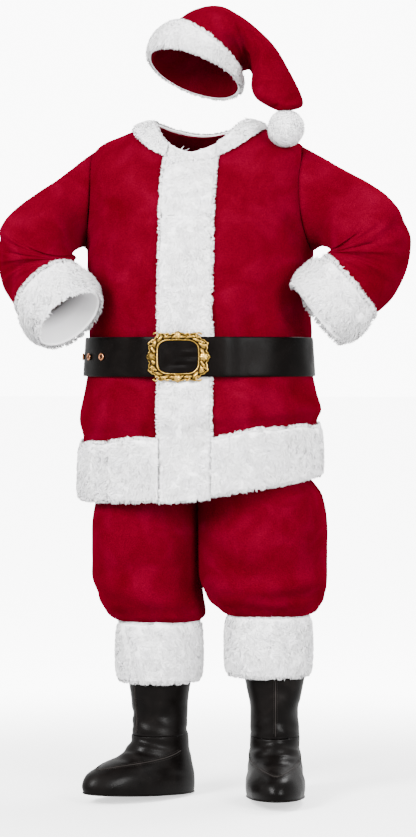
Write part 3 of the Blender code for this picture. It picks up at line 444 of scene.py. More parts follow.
def mottled(tree, patch_scale, grain_scale):
    """The mottle group, placed on Object coordinates."""
    place = tree.nodes.new("ShaderNodeTexCoord")
    made = tree.nodes.new("ShaderNodeGroup")
    made.node_tree = MOTTLE
    made.inputs["Patch Scale"].default_value = patch_scale
    made.inputs["Grain Scale"].default_value = grain_scale
    tree.links.new(place.outputs["Object"], made.inputs["Vector"])
    return made


def ramp(tree, factor, stops):
    """A colour ramp; its stops are (place, colour)."""
    made = tree.nodes.new("ShaderNodeValToRGB")
    elements = made.color_ramp.elements
    for index, (place, colour) in enumerate(stops):
        element = elements[index] if index < 2 else elements.new(place)
        element.position = place
        element.color = (*colour, 1.0)
    tree.links.new(factor, made.inputs["Fac"])
    return made.outputs["Color"]


def multiplied(tree, colour, tone):
    """Two colours multiplied."""
    mixed = node(tree, "ShaderNodeMix", data_type="RGBA", blend_type="MULTIPLY")
    mixed.inputs["Factor"].default_value = 1.0
    tree.links.new(colour, mixed.inputs[6])
    tree.links.new(tone, mixed.inputs[7])
    return mixed.outputs[2]


def added(tree, first, second):
    """Two heights added."""
    return node(tree, "ShaderNodeMath", [(0, first), (1, second)], operation="ADD").outputs[0]


def uneven_gloss(tree, shader, patch, patch_end, low, high):
    """The roughness from low to high, where the mottle's patches run from 0.3 to their end."""
    gloss = node(tree, "ShaderNodeMapRange", [("Value", patch)], From_Min=0.3, From_Max=patch_end,
                 To_Min=low, To_Max=high)
    tree.links.new(gloss.outputs["Result"], shader.inputs["Roughness"])


def raised(tree, shader, height, strength, distance):
    """A Bump node from a height to the shader's normal."""
    made = node(tree, "ShaderNodeBump", [("Height", height)], Strength=strength, Distance=distance)
    tree.links.new(made.outputs["Normal"], shader.inputs["Normal"])


def plush_finish(name, seed_shift):
    """Crimson plush: the nap lies lighter and darker in patches, with a fine grain and a sheen."""
    made, tree, shader = finish(name, 0.82, Specular_IOR_Level=0.0, Sheen_Weight=0.09,
                                Sheen_Roughness=0.35, Sheen_Tint=(1.0, 0.0, 0.06, 1.0))
    mottle = mottled(tree, 11.0 + seed_shift, 420.0)
    colour = ramp(tree, mottle.outputs["Patch"],
                  ((0.28, (0.053, 0.0002, 0.0030)), (0.52, (0.068, 0.0003, 0.0046)),
                   (0.74, (0.088, 0.0004, 0.0076))))
    grain = ramp(tree, mottle.outputs["Grain"], ((0.30, (0.72, 0.72, 0.72)), (0.66, (1.12, 1.12, 1.12))))
    tree.links.new(multiplied(tree, colour, grain), shader.inputs["Base Color"])
    raised(tree, shader, added(tree, mottle.outputs["Grain"], mottle.outputs["Patch"]), 0.65, 0.0016)
    return made


def fur_finish(name):
    """White fur with painted shade, grey at the roots and deep in the pile, white at the tips, and a faint
    warm and cool mottle.
    """
    made, tree, shader = finish(name, 0.62, Specular_IOR_Level=0.30, Sheen_Weight=0.25,
                                Sheen_Roughness=0.5)
    shade = node(tree, "ShaderNodeAttribute", attribute_name="shade")
    colour = ramp(tree, shade.outputs["Fac"],
                  ((0.0, (0.16, 0.155, 0.16)), (0.30, (0.80, 0.79, 0.80)),
                   (0.60, (0.93, 0.925, 0.93)), (1.0, (0.985, 0.982, 0.985))))
    mottle = mottled(tree, 26.0, 700.0)
    tone = ramp(tree, mottle.outputs["Patch"], ((0.25, (0.965, 0.965, 0.98)), (0.7, (1.0, 0.998, 0.99))))
    tree.links.new(multiplied(tree, colour, tone), shader.inputs["Base Color"])
    raised(tree, shader, mottle.outputs["Grain"], 0.4, 0.0008)
    return made


def hide_finish(name, roughness, gleam, coat, grain_scale, depth, tones):
    """Black leather or vinyl: fine creases, a soft wear in the colour and an uneven gloss."""
    made, tree, shader = finish(name, roughness, Specular_IOR_Level=gleam, Coat_Weight=coat,
                                Coat_Roughness=0.22)
    mottle = mottled(tree, 18.0, grain_scale)
    colour = ramp(tree, mottle.outputs["Patch"], tuple(zip((0.30, 0.62, 0.85), tones)))
    tree.links.new(colour, shader.inputs["Base Color"])
    uneven_gloss(tree, shader, mottle.outputs["Patch"], 0.75, roughness - 0.07, roughness + 0.12)
    creases = node(tree, "ShaderNodeTexVoronoi", feature="DISTANCE_TO_EDGE", Scale=grain_scale)
    tree.links.new(tree.nodes["Texture Coordinate"].outputs["Object"], creases.inputs["Vector"])
    raised(tree, shader, added(tree, creases.outputs["Distance"], mottle.outputs["Grain"]), 0.28, depth)
    return made


def metal_finish(name, high, low, roughness):
    """Cast metal: bright on its raised parts and dark in its hollows, by the attribute "shade"."""
    made, tree, shader = finish(name, roughness, metallic=1.0)
    shade = node(tree, "ShaderNodeAttribute", attribute_name="shade")
    mottle = mottled(tree, 60.0, 900.0)
    mid = tuple(0.30 * bright + 0.70 * dark for bright, dark in zip(high, low))
    colour = ramp(tree, shade.outputs["Fac"], ((0.12, low), (0.38, mid), (0.72, high)))
    tree.links.new(colour, shader.inputs["Base Color"])
    uneven_gloss(tree, shader, mottle.outputs["Patch"], 0.7, roughness - 0.06, roughness + 0.10)
    raised(tree, shader, mottle.outputs["Grain"], 0.15, 0.0004)
    return made


PLUSH_JACKET = plush_finish("crimson_plush", 0.0)
PLUSH_TROUSERS = plush_finish("crimson_plush_trousers", 2.0)
WHITE_FUR = fur_finish("white_fur")
BELT_BLACK = hide_finish("belt_black", 0.34, 0.026, 0.0, 320.0, 0.0007, (
    (0.0012, 0.0009, 0.0008), (0.0022, 0.0016, 0.0014), (0.0036, 0.0027, 0.0024)))
BOOT_BLACK = hide_finish("boot_black", 0.34, 0.050, 0.01, 260.0, 0.0009, (
    (0.0014, 0.0011, 0.0010), (0.0026, 0.0020, 0.0018), (0.0068, 0.0055, 0.0048)))
# the raised seams and their stitches: a grey a little lighter than the vinyl
SEAM_GREY = hide_finish("seam_grey", 0.55, 0.05, 0.0, 900.0, 0.0004, (
    (0.014, 0.012, 0.011), (0.020, 0.017, 0.016), (0.030, 0.026, 0.024)))
GOLD = metal_finish("aged_gold", (0.44, 0.265, 0.050), (0.008, 0.004, 0.0015), 0.27)
COPPER = metal_finish("copper", (0.46, 0.19, 0.09), (0.10, 0.035, 0.015), 0.28)
ELASTIC = plush_finish("elastic_casing", 5.0)


# ---- jacket pieces -------------------------------------------------------------------------------
# turn_deg, half_turn_deg, row, half_rows, lean_deg_per_row, height: the smaller creases
JACKET_CREASES = (
    (-140, 4, 5.1, 0.6, 6.0, -0.0035), (-121, 3, 5.0, 0.5, 3.0, -0.0030), (-104, 3, 5.3, 0.7, -2.0, 0.0025),
    (-76, 3, 5.1, 0.6, 2.0, -0.0030), (-57, 4, 5.2, 0.7, -4.0, -0.0035), (-34, 4, 5.3, 0.8, -6.0, -0.0030),
    (-148, 4, 3.0, 0.6, -4.0, -0.0035), (-122, 3, 3.1, 0.5, 3.0, -0.0030), (-109, 4, 2.7, 0.7, -2.0, 0.0030),
    (-73, 4, 2.8, 0.6, 3.0, -0.0030), (-49, 3, 3.1, 0.6, -3.0, -0.0035), (-31, 4, 2.9, 0.7, 4.0, -0.0030),
    (-156, 5, 7.2, 1.2, 12.0, -0.0050), (-143, 5, 7.9, 1.3, 9.0, -0.0040),
    (-24, 5, 7.2, 1.2, -12.0, -0.0050), (-37, 5, 7.9, 1.3, -9.0, -0.0040),
    (-118, 7, 8.6, 1.6, 6.0, 0.0030), (-62, 7, 8.6, 1.6, -6.0, 0.0030),
    (46, 5, 5.2, 0.7, 5.0, -0.0035), (84, 4, 5.1, 0.5, -2.0, -0.0030), (104, 4, 5.4, 0.7, 3.0, -0.0030),
    (133, 5, 5.2, 0.7, -6.0, -0.0035), (60, 4, 3.0, 0.6, 3.0, -0.0030), (99, 4, 2.9, 0.6, -3.0, -0.0035),
    (140, 4, 3.0, 0.6, 4.0, -0.0030), (28, 5, 7.6, 1.3, 10.0, -0.0045), (152, 5, 7.6, 1.3, -10.0, -0.0045),
    (90, 9, 9.4, 1.6, 0.0, 0.0035), (70, 6, 8.3, 1.4, 5.0, -0.0030), (112, 6, 8.2, 1.4, -5.0, -0.0030),
)
SMOOTHED_WIDTH = 1.6          # creases are this much wider than their half turn
PANEL_SHARES = (0.0012, 0.9988)  # where a panel starts and ends between its seams
JACKET_SEED = 21              # one unevenness runs over all the jacket's panels, so its seams meet


def jacket_cloth(turn, row):
    """The jacket with its smaller creases."""
    turn, row = paired(turn, row)
    height = leaning_hills(JACKET_CREASES, turn, row, SMOOTHED_WIDTH)
    return jacket(turn, row) + height[..., None] * face_of(jacket, turn, row)


def steps_for(length, step=CLOTH_STEP):
    """How many points a length takes at a spacing."""
    return max(int(round(length / step)) + 1, 3)


def panel_levels():
    """Levels of a jacket panel from hem to neck, and how deep the armhole is at each."""
    arc = np.linspace(0.0, math.pi, 34)
    levels = np.concatenate([np.linspace(0.10, ARMHOLE_MIDDLE - ARMHOLE_REACH - 0.06, 76),
                             ARMHOLE_MIDDLE - (ARMHOLE_REACH + 0.002) * np.cos(arc),
                             np.linspace(ARMHOLE_MIDDLE + ARMHOLE_REACH + 0.08, NECK_ROW, 17)])
    share = np.concatenate([np.zeros(76), np.sin(arc), np.zeros(17)])
    return levels, share


def cloth_wall(name, surface, first, second, seed, stands_for, finish_for):
    """A cut piece of plush: the surface with soft unevenness, sunk into its seams."""
    outer = surface(first, second)
    face = face_of(surface, first, second)
    outer = seamed(rumpled(outer, face, seed, CLOTH_RUMPLE), face)
    return wall(name, outer, outer - WALL_SHARE * PLUSH * face, finish_for, False, stands_for)


def body_panel(name, levels, start, sweep, width):
    """A panel of the jacket: each level runs from its start through its sweep of turn."""
    steps = np.linspace(*PANEL_SHARES, steps_for(width))
    level = np.repeat(levels[:, None], len(steps), axis=1)
    return cloth_wall(f"{name}_plush", jacket_cloth, start + sweep[:, None] * steps, level, JACKET_SEED,
                      (name,), PLUSH_JACKET)


def jacket_front(name, side_turn):
    """A front, from the middle of the front to the side seam, the armhole and the shoulder."""
    levels, share = panel_levels()
    inward = np.sign(FRONT_TURN - side_turn)
    side = side_turn + inward * (ARMHOLE_TURN + ARMHOLE_FORWARD) * share
    made = body_panel(f"jacket_front_{name}", levels, FRONT_TURN, side - FRONT_TURN, 0.42)


def jacket_back():
    """The back: one piece from side seam to side seam, up to the armholes and the shoulders."""
    levels, share = panel_levels()
    turn_in = (ARMHOLE_TURN - ARMHOLE_FORWARD) * share
    made = body_panel("jacket_back", levels, turn_in[:, None], math.pi - 2 * turn_in, 0.78)


# elbow_x, elbow_y, elbow_z, back_turn_deg, first_angle_deg, last_angle_deg
SLEEVES = {
    "right": (-0.2637, -0.2031, 1.2361, 32.7, 26.3, -47.0),
    "left": (0.3002, -0.1233, 1.2480, 14.0, 31.6, -51.0),
}
EVENING_ROUNDS, EVENED_RINGS = 3, 6     # the upper arm's rings are evened out round the arm
ELBOW_CREASE = 0.012          # from the point that the bend turns about to the sleeve
# share round the bend, its half width, depth: the fan of broad folds in the elbow
ELBOW_FAN = ((0.42, 0.16, 0.012), (0.74, 0.13, 0.007), (0.14, 0.12, 0.006))
UPPER_HALF, CUFF_END_HALF = 0.0973, 0.083   # half widths in the plane of the bend
UPPER_DEEP, CUFF_END_DEEP = 0.094, 0.076    # half widths across it
CUFF_LONG = 0.092
# twist_deg, push_top, push_low, top_drop, lead, outer_pull, inner_pull: how the cloth of the upper
# arm leaves the armhole, with its rings turned that far against the elbow's, and enters the bend
UPPER_ARMS = {
    "right": (-60.0, 0.63, 0.24, 0.38, 0.52, 3.1, 1.8),
    "left": (-20.0, 0.69, 0.72, 0.33, 0.64, 2.4, 2.3),
}
RING = 18                     # places round a ring of a sleeve


def armhole_loop(side, twist):
    """Points round an armhole: from the shoulder point, turned on by the twist, over the front
    to the armpit and back."""
    round_it = twist + circle(RING)
    level = ARMHOLE_MIDDLE + (ARMHOLE_REACH - 0.002) * np.cos(round_it)
    ahead = np.sin(round_it)
    reach = np.where(ahead > 0, ARMHOLE_TURN + ARMHOLE_FORWARD, ARMHOLE_TURN - ARMHOLE_FORWARD)
    turn = -(reach - 0.0012) * ahead
    if side < 0:
        turn = math.pi - turn
    return jacket(turn, level)


def sleeve_rings(name, shares, swell=0.0, ring=RING):
    """Rings of the sleeve: ovals whose middles turn round the inner elbow, from 0, the end of
    the upper arm, to 1, the start of the cuff, and then run straight to the cuff's free end."""
    elbow_x, elbow_y, elbow_z, back_turn, first_angle, last_angle = SLEEVES[name]
    side, back = SIDES[name], math.radians(back_turn)
    sideways = np.array((side * math.cos(back), math.sin(back), 0.0))
    upward = np.array((0.0, 0.0, 1.0))
    across = np.array((side * math.sin(back), -math.cos(back), 0.0))
    round_it = circle(ring)
    rings = []
    for share in shares:
        angle = math.radians(between(first_angle, last_angle, min(share, 1.0)))
        half = between(UPPER_HALF, CUFF_END_HALF, min(share, 1.0))
        deep = between(UPPER_DEEP, CUFF_END_DEEP, min(share, 1.0))
        ray = sideways * math.cos(angle) + upward * math.sin(angle)
        travel = sideways * math.sin(angle) - upward * math.cos(angle)
        middle = np.array((elbow_x, elbow_y, elbow_z)) + (half + ELBOW_CREASE) * ray
        middle = middle + max(share - 1.0, 0.0) * CUFF_LONG * travel
        fan = sum(deep_fold * bump(share, place, half_place) for place, half_place, deep_fold in ELBOW_FAN)
        crease = fan * (bump(round_it, 1.5, 1.1) + 0.8 * bump(round_it, 4.8, 1.1))
        rings.append(middle + np.outer((half + swell - crease) * np.cos(round_it), ray)
                     + np.outer((deep + swell - crease) * np.sin(round_it), across))
    return np.array(rings)


def sleeve_grid(name):
    """All rings of a sleeve: cubic curves from the armhole over the upper arm, then the bend."""
    twist_deg, push_top, push_low, top_drop, lead, outer_pull, inner_pull = UPPER_ARMS[name]
    loop = armhole_loop(SIDES[name], math.radians(twist_deg))
    bend = sleeve_rings(name, np.linspace(0.0, 1.0, 9))
    chord = bend[0] - loop
    length = np.linalg.norm(chord, axis=-1, keepdims=True)
    inner = 0.5 - 0.5 * np.cos(circle(RING))
    onward = between(outer_pull, inner_pull, inner)[:, None] * (bend[1] - bend[0])
    low = ease((loop[:, 2:3].max() - loop[:, 2:3]) / np.ptp(loop[:, 2]))
    away = np.concatenate([np.full_like(low, SIDES[name]), 0.0 * low, top_drop * (low - 1.0)], axis=1)
    leaving = lead * chord + between(push_top, push_low, low) * length * away
    upper = [cubic(loop, bend[0], leaving, onward, share) for share in np.linspace(0.0, 1.0, 5)[:-1]]
    rings = np.concatenate([np.array(upper), bend])
    for _ in range(EVENING_ROUNDS):
        evened = between(rings, (np.roll(rings, 1, axis=1) + np.roll(rings, -1, axis=1)) / 2, 0.5)
        rings[1:EVENED_RINGS] = evened[1:EVENED_RINGS]
    return rings


def refined(rings, rows, columns):
    """A finer grid of points on the cubic curves through rings of points, along and round."""
    count = rings.shape[1]
    grid = along(rings.reshape(len(rings), -1), np.linspace(0.0, len(rings) - 1.0, rows))
    grid = grid.reshape(rows, count, 3)
    wrapped = np.concatenate([grid[:, -2:], grid, grid[:, :3]], axis=1)
    table = np.swapaxes(wrapped, 0, 1).reshape(count + 5, -1)
    over = 2.0 + np.linspace(0.0, count, columns, endpoint=False)
    return np.swapaxes(along(table, over).reshape(columns, rows, 3), 0, 1)


# share along the sleeve, place round it, half widths of both, slant, height: creases of a sleeve
SLEEVE_CREASES = (
    (0.34, 2.0, 0.030, 1.2, 0.10, -0.0090), (0.42, 1.5, 0.030, 1.2, 0.07, 0.0065),
    (0.50, 1.9, 0.030, 1.3, 0.03, -0.0120), (0.58, 1.4, 0.030, 1.2, -0.02, 0.0070),
    (0.66, 1.8, 0.034, 1.3, -0.06, -0.0085), (0.76, 1.6, 0.036, 1.2, -0.09, -0.0055),
    (0.86, 1.1, 0.035, 1.0, -0.08, -0.0030), (0.24, 1.9, 0.045, 1.0, 0.12, -0.0050),
    (0.12, 1.2, 0.050, 0.9, 0.06, -0.0035), (0.16, 2.4, 0.045, 0.8, 0.05, 0.0040),
    (0.38, 4.8, 0.036, 1.2, -0.08, -0.0055), (0.47, 4.6, 0.034, 1.2, -0.04, 0.0045),
    (0.56, 4.9, 0.036, 1.3, 0.02, -0.0060), (0.65, 4.7, 0.036, 1.2, 0.06, -0.0045),
    (0.78, 4.9, 0.040, 1.1, 0.08, -0.0040), (0.22, 4.4, 0.045, 1.0, -0.10, -0.0045),
    (0.90, 5.6, 0.040, 0.8, 0.04, -0.0030), (0.30, 0.2, 0.060, 0.9, 0.02, -0.0025),
)


def creased(points, face, share, round_it, creases):
    """Points moved along their outward direction by hills and troughs that lean round a tube."""
    height = np.zeros(share.shape)
    for middle, place, half_share, half_round, slant, high in creases:
        apart = (round_it - place + math.pi) % (2 * math.pi) - math.pi
        height = height + high * bump(share - slant * apart, middle, 1.5 * half_share) * bump(
            apart, 0.0, half_round)
    height = height * ease(share / 0.06)
    return points + height[..., None] * face


def sleeve(name):
    """A sleeve from its armhole to its cuff, closed by one seam."""
    rows, columns = steps_for(0.50), steps_for(0.60)
    points = refined(sleeve_grid(name), rows, columns)
    face = ring_face(points)
    share, round_it = np.meshgrid(np.linspace(0.0, 1.0, rows), circle(columns), indexing="ij")
    points = creased(points, face, share, round_it, SLEEVE_CREASES)
    points = seamed(rumpled(points, face, JACKET_SEED, CLOTH_RUMPLE), face, ring=True)
    made = wall(f"sleeve_{name}_plush", points, points - WALL_SHARE * PLUSH * face, PLUSH_JACKET,
                True, (f"sleeve_{name}",))


# ---- fur trims -----------------------------------------------------------------------------------
LOCKS_FOR_AREA = 188000       # locks for each square metre
BACKING_SHARE = 0.68          # the dense underfur's share of the pile's depth
TUFTS_FOR_LENGTH = 2900       # locks along each metre of edge
TUFT_DEPTH = 0.55             # the depth of those tufts, as a share of the trim's greatest depth
EDGE_REACHES = (0.0005, 0.006)  # how far in from an edge they are rooted
EDGE_TILTS, TUFT_RISE = (0.35, 1.15), 0.35  # how far they lean out over it, and their combing up
MOUTH_PAINTED_SHADE = 0.62            # painted shade of a cuff's lining at its mouth; it is painted darker down to the deepest row


def pile_depth(share, full=FUR, edge=FUR_EDGE):
    """Depth of fur across a trim, from one sewn edge to the other: edge + (full - edge) times
    (1 - |2 s - 1|^3)^(1/2)."""
    return between(edge, full, (1.0 - np.abs(2.0 * np.asarray(share) - 1.0)**3)**0.5)


def fur_trim(name, under, face, depth, comb, ring, seed, stands_for, lean=0.75,
             mouth_rows=None):
    """A fur trim: a lumpy backing of dense underfur, and locks of pile that grow out of it.
    mouth_rows is 0 for the deepest row of a cuff's inside and 1 for the one at its mouth; the lining is
    painted darker deeper in, as painted shade."""
    depth = np.broadcast_to(depth, under.shape[:2])
    lumps = BACKING_SHARE * (1.0 + 0.20 * waves(under, 0.034, seed) + 0.14 * waves(under, 0.015, seed + 3))
    over = under + (depth * lumps)[..., None] * face
    # painted shade: the underfur is painted a little darker than the locks' tips, and unevenly at random
    tints = 0.50 + 0.20 * waves(under, 0.02, seed + 5)
    # painted shade: a cuff's lining is painted darker the deeper inside it is
    inside = tints if mouth_rows is None else np.broadcast_to(MOUTH_PAINTED_SHADE * mouth_rows[:, None], tints.shape)
    backing = wall(name + "_backing", over, under, WHITE_FUR, ring, stands_for,
                   tints=tints, inner_painted_shade=inside)
    if ring:
        under, face, depth, comb = map(closed, (under, face, depth, comb))
    count = int(cell_areas(under + depth[..., None] * face).sum() * LOCKS_FOR_AREA)
    root, grown, deep, lay = seeds(under, face, depth, comb, count)
    pile = locks(name + "_pile", root, grown, deep, lay, lean=lean)
    lines, faces = (under, face) if ring else (np.swapaxes(under, 0, 1), np.swapaxes(face, 0, 1))
    edges = [(lines[0], lines[3] - lines[0], faces[0]), (lines[-1], lines[-4] - lines[-1], faces[-1])]
    if name == "front_band":
        edges.append((under[0], under[3] - under[0], face[0]))
    tufts = edge_tufts(name, edges, TUFT_DEPTH * float(depth.max()))


def edge_seeds(line, inward, face, depth, count):
    """Places along an edge of a trim, a little way in from it: position, a direction that leans
    out over the edge, pile depth and combing direction at each."""
    last = len(line) - 1.001
    run = RNG.uniform(0.0, last, count)
    number = run.astype(int)
    share = (run - number)[:, None]
    start, end = line[number], line[number + 1]
    out = -unit(inward[number])
    root = start + share * (end - start) - out * RNG.uniform(*EDGE_REACHES, (count, 1))
    tilt = RNG.uniform(*EDGE_TILTS, (count, 1))
    grown = unit(face[number] + tilt * out)
    return root, grown, np.full((count, 1), depth), unit(out + TUFT_RISE * face[number])


def edge_tufts(name, edges, depth):
    """Short locks that lean out over the edges of a trim, so that none of them is a clean line."""
    found = [edge_seeds(line, inward, face, depth,
                        int(np.linalg.norm(np.diff(line, axis=0), axis=-1).sum() * TUFTS_FOR_LENGTH))
             for line, inward, face in edges]
    root, grown, deep, lay = (np.concatenate(values) for values in zip(*found))
    return locks(name + "_edge_pile", root, grown, deep, lay, long=0.9, lean=0.8)


BAND_PARTS = ((BAND_END_ROW, 3.2, 44), (3.24, 4.8, 36), (4.85, 12.08, 92))  # denser under the belt
PRESSED_FROM, PRESSED_TO, PRESSED_SHARE = 3.15, 4.7, 0.70  # the rows that the belt flattens


def front_band():
    """The fur band down the front, from the neck to the hem; the belt presses it flat."""
    rows = np.concatenate([np.linspace(*part) for part in BAND_PARTS])
    share = np.linspace(0.0, 1.0, 21)
    widths = along(JACKET, rows)[:, 0]
    turn = FRONT_TURN + (BAND_HALF / widths)[:, None] * (2.0 * share - 1.0)
    level = np.repeat(rows[:, None], len(share), axis=1)
    pressed = 1.0 - PRESSED_SHARE * (ease((rows - PRESSED_FROM) / 0.2) - ease((rows - PRESSED_TO) / 0.2))
    depth = between(FUR_EDGE, pile_depth(share), pressed[:, None])
    face = face_of(jacket, turn, level)
    under = jacket(turn, level) + 0.0014 * face
    fur_trim("front_band", under, face, depth, -np.gradient(under, axis=0), False, 71,
             ("front_band_fur",))


def round_trim(name, first_row, last_row, columns, depth, lift, seed, flat, comb_down=True):
    """A fur trim round the body, from one side of the front band to the other; its last edge
    sways by two sine waves of the turn."""
    share = np.linspace(0.0, 1.0, columns)
    rows = between(first_row, last_row, share)
    half_turn = (BAND_HALF + 0.0025) / along(JACKET, np.clip(rows, 0.0, NECK_ROW))[:, 0]
    steps = np.linspace(0.0, 1.0, steps_for(flat[0], FUR_STEP))[:, None]
    turn = FRONT_TURN + half_turn + (2 * math.pi - 2 * half_turn) * steps
    sway = 0.045 * np.sin(5.0 * turn + seed) + 0.030 * np.sin(12.0 * turn + 1.0)
    level = rows[None, :] + sway * share[None, :]
    face = face_of(jacket, turn, level)
    under = jacket(turn, level) + lift * face
    comb = np.gradient(under, axis=1) * (-1.0 if comb_down else 1.0)
    fur_trim(name, under, face, pile_depth(share, depth)[None, :], comb, False, seed,
             (name + "_fur",))


def sleeve_cuff(name, seed):
    """The fur cuff, sewn to the sleeve's end and open for the hand."""
    share = np.linspace(0.0, 1.0, 16)
    rings = sleeve_rings(name, 1.0 + share * 0.997 + 0.002, swell=-PLUSH, ring=steps_for(0.5, FUR_STEP))
    middle = rings.mean(axis=1, keepdims=True)
    travel = unit(np.gradient(middle, axis=0))
    face = unit(rings - middle)
    face = unit(face - np.sum(face * travel, axis=-1, keepdims=True) * travel)
    puff = 0.003 + 0.018 * np.sin(math.pi * share)**0.7
    depth = np.broadcast_to((PLUSH + puff)[:, None], rings.shape[:2])
    fur_trim(f"sleeve_cuff_{name}", rings, face, depth, np.gradient(rings, axis=0), True, seed,
             (f"sleeve_cuff_{name}",), lean=0.55,
             mouth_rows=share)


def build_jacket():
    """Fronts, back, sleeves and fur."""
    jacket_back()
    jacket_front("left", 0.0)
    jacket_front("right", -math.pi)
    sleeve("left")
    sleeve("right")
    front_band()
    round_trim("hem", 0.0, FUR_TOP_ROW, 20, FUR, 0.0022, 81, (1.32, 0.13))
    round_trim("neck", 11.25, 12.08, 12, THIN_FUR, 0.0015, 85, (0.52, 0.07))
    sleeve_cuff("left", 91)
    sleeve_cuff("right", 95)


build_jacket()


# ---- belt ----------------------------------------------------------------------------------------
STRAP_LOW_ROW, STRAP_TOP_ROW = 3.40, 4.63
STRAP_LIFT, BRIDGE_LIFT = 0.0015, 0.0108  # off the plush, and off it over the fur band
BELT_REACH = 0.256            # from the body's middle to the strap
BRIDGE_HALF, BRIDGE_FADE = 0.084, 0.05  # the strap stands off the fur band this far to each side
LAYER_STEP = LEATHER + 0.0012 # the second layer's height over the first
LAYER_TURN, LAYER_FADE = -420.0, 18.0   # where the strap runs up on to its first turn
DENT_WIDTH = 1.6              # dents are this much wider than their half turn
EDGE_ROUND, EDGE_FADE = 0.0011, 0.03    # the strap thins by this towards its edges
STRAP_FIRST_TURN, STRAP_LAST_TURN = -97, -588
BUCKLE_TURN = -450.0          # the front again, on the strap's second layer
BUCKLE_HALF_WIDE, BUCKLE_HALF_HIGH = 0.0735, 0.0575
BUCKLE_X = -0.0130            # the buckle sits a little to the wearer's right
WINDOW_HALF_WIDE, WINDOW_HALF_HIGH = 0.045, 0.036
LOBE_INSET = 0.0045           # the lobes swing about a line this far inside the outer edge
CROWN, LEAF_RELIEF, RIM_RELIEF, RELIEF_BASE = 0.0062, 0.0034, 0.0026, 0.0026
# across, up, which way it opens across and up, size: a volute of one corner, repeated in the others
VOLUTES = ((0.0475, 0.0465, 1, 1, 0.0080), (0.0590, 0.0300, 1, -1, 0.0070), (0.0240, 0.0470, -1, 1, 0.0062))
EYELET_ALONG = (0.205, 0.258, 0.311, 0.364)  # distances from the buckle
EYELET_MAJOR, EYELET_MINOR, EYELET_SIDES = 0.0064, 0.0019, 40
HOLE_HALF = 0.0052            # radius of the dark hole


def strap_lift(turn_deg):
    """How far the strap's inner face stands off the jacket at an angle of its long turn."""
    from_front = np.radians((turn_deg + 90.0 + 180.0) % 360.0 - 180.0) * BELT_REACH
    over_band = 1.0 - ease((np.abs(from_front) - BRIDGE_HALF) / BRIDGE_FADE)
    second_layer = ease((LAYER_TURN - turn_deg) / LAYER_FADE)
    return between(STRAP_LIFT, BRIDGE_LIFT, over_band) + LAYER_STEP * second_layer


def belt_line(turn, share):
    """The surface under the strap: straight across its height, from its lower to its upper edge."""
    share = np.asarray(share, float)
    low, top = (jacket(turn, np.full(share.shape, row)) for row in (STRAP_LOW_ROW, STRAP_TOP_ROW))
    return between(low, top, share[..., None])


# turn_deg, half_turn_deg, share, half_share, lean_deg_per_share, height: the strap's soft dents
STRAP_DENTS = (
    (-457, 2.4, 0.35, 0.30, 8.0, -0.0014), (-452, 3.0, 0.30, 0.07, 6.0, -0.0022),
    (-446, 3.2, 0.62, 0.055, -8.0, 0.0022), (-447, 3.4, 0.50, 0.055, 8.0, -0.0026),
    (-445, 2.8, 0.38, 0.050, 5.0, 0.0020), (-444, 2.4, 0.73, 0.050, -6.0, -0.0022),
    (-480, 6.0, 0.70, 0.6, 5.0, -0.0008), (-510, 7.0, 0.40, 0.7, -8.0, -0.0010),
    (-415, 6.0, 0.60, 0.7, 6.0, -0.0009), (-390, 7.0, 0.35, 0.6, -7.0, -0.0010),
    (-372, 6.0, 0.70, 0.5, 4.0, -0.0008), (-545, 8.0, 0.60, 0.6, 6.0, -0.0008),
    (-300, 9.0, 0.50, 0.7, 6.0, -0.0010), (-250, 9.0, 0.40, 0.7, -5.0, -0.0010),
)


def belt_strap():
    """The strap: a little over one turn, thinner along its edges, with soft dents."""
    turns = np.linspace(STRAP_FIRST_TURN, STRAP_LAST_TURN, 300)
    share = np.concatenate([[0.0, 0.02, 0.05], np.linspace(0.09, 0.91, 27), [0.95, 0.98, 1.0]])
    turn = np.repeat(turns[:, None], len(share), axis=1)
    level = np.repeat(share[None, :], len(turns), axis=0)
    base, face = belt_line(np.radians(turn), level), face_of(belt_line, np.radians(turn), level)
    dents = np.zeros_like(turn)
    for turn_deg, half_deg, middle, half_share, lean, high in STRAP_DENTS:
        across = turn - turn_deg - lean * (level - middle)
        dents = dents + high * bump(across, 0.0, DENT_WIDTH * half_deg) * bump(level, middle, half_share)
    rounding = EDGE_ROUND * (np.exp(-level / EDGE_FADE) + np.exp(-(1.0 - level) / EDGE_FADE))
    under = base + strap_lift(turn)[..., None] * face
    over = under + (LEATHER + dents - rounding)[..., None] * face
    wall("belt_strap_leather", over, under, BELT_BLACK, False, ("belt_strap",))


FRONT_TURNS = np.linspace(-math.pi, 0.0, 181)
FRONT_LOW, FRONT_TOP = (belt_line(FRONT_TURNS, np.full(181, share)) for share in (0.0, 1.0))


def belt_front(x, rise):
    """Depth under the strap at a distance from the middle and a height over its mid line."""
    share = 0.5 + rise / (FRONT_TOP[90, 2] - FRONT_LOW[90, 2])
    low_y, top_y = (np.interp(x, line[:, 0], line[:, 1]) for line in (FRONT_LOW, FRONT_TOP))
    return between(low_y, top_y, share)


BELT_MIDDLE_Z = float(belt_line(np.array(FRONT_TURN), np.array(0.5))[2])
BUCKLE_BACK = float(strap_lift(BUCKLE_TURN)) + LEATHER + 0.0006


def on_buckle(x, z, high):
    """Points at a height over the buckle's back, at a place measured from its middle."""
    x = np.asarray(x) + BUCKLE_X
    return np.stack([x, belt_front(x, z) - BUCKLE_BACK - high, BELT_MIDDLE_Z + z], axis=-1)


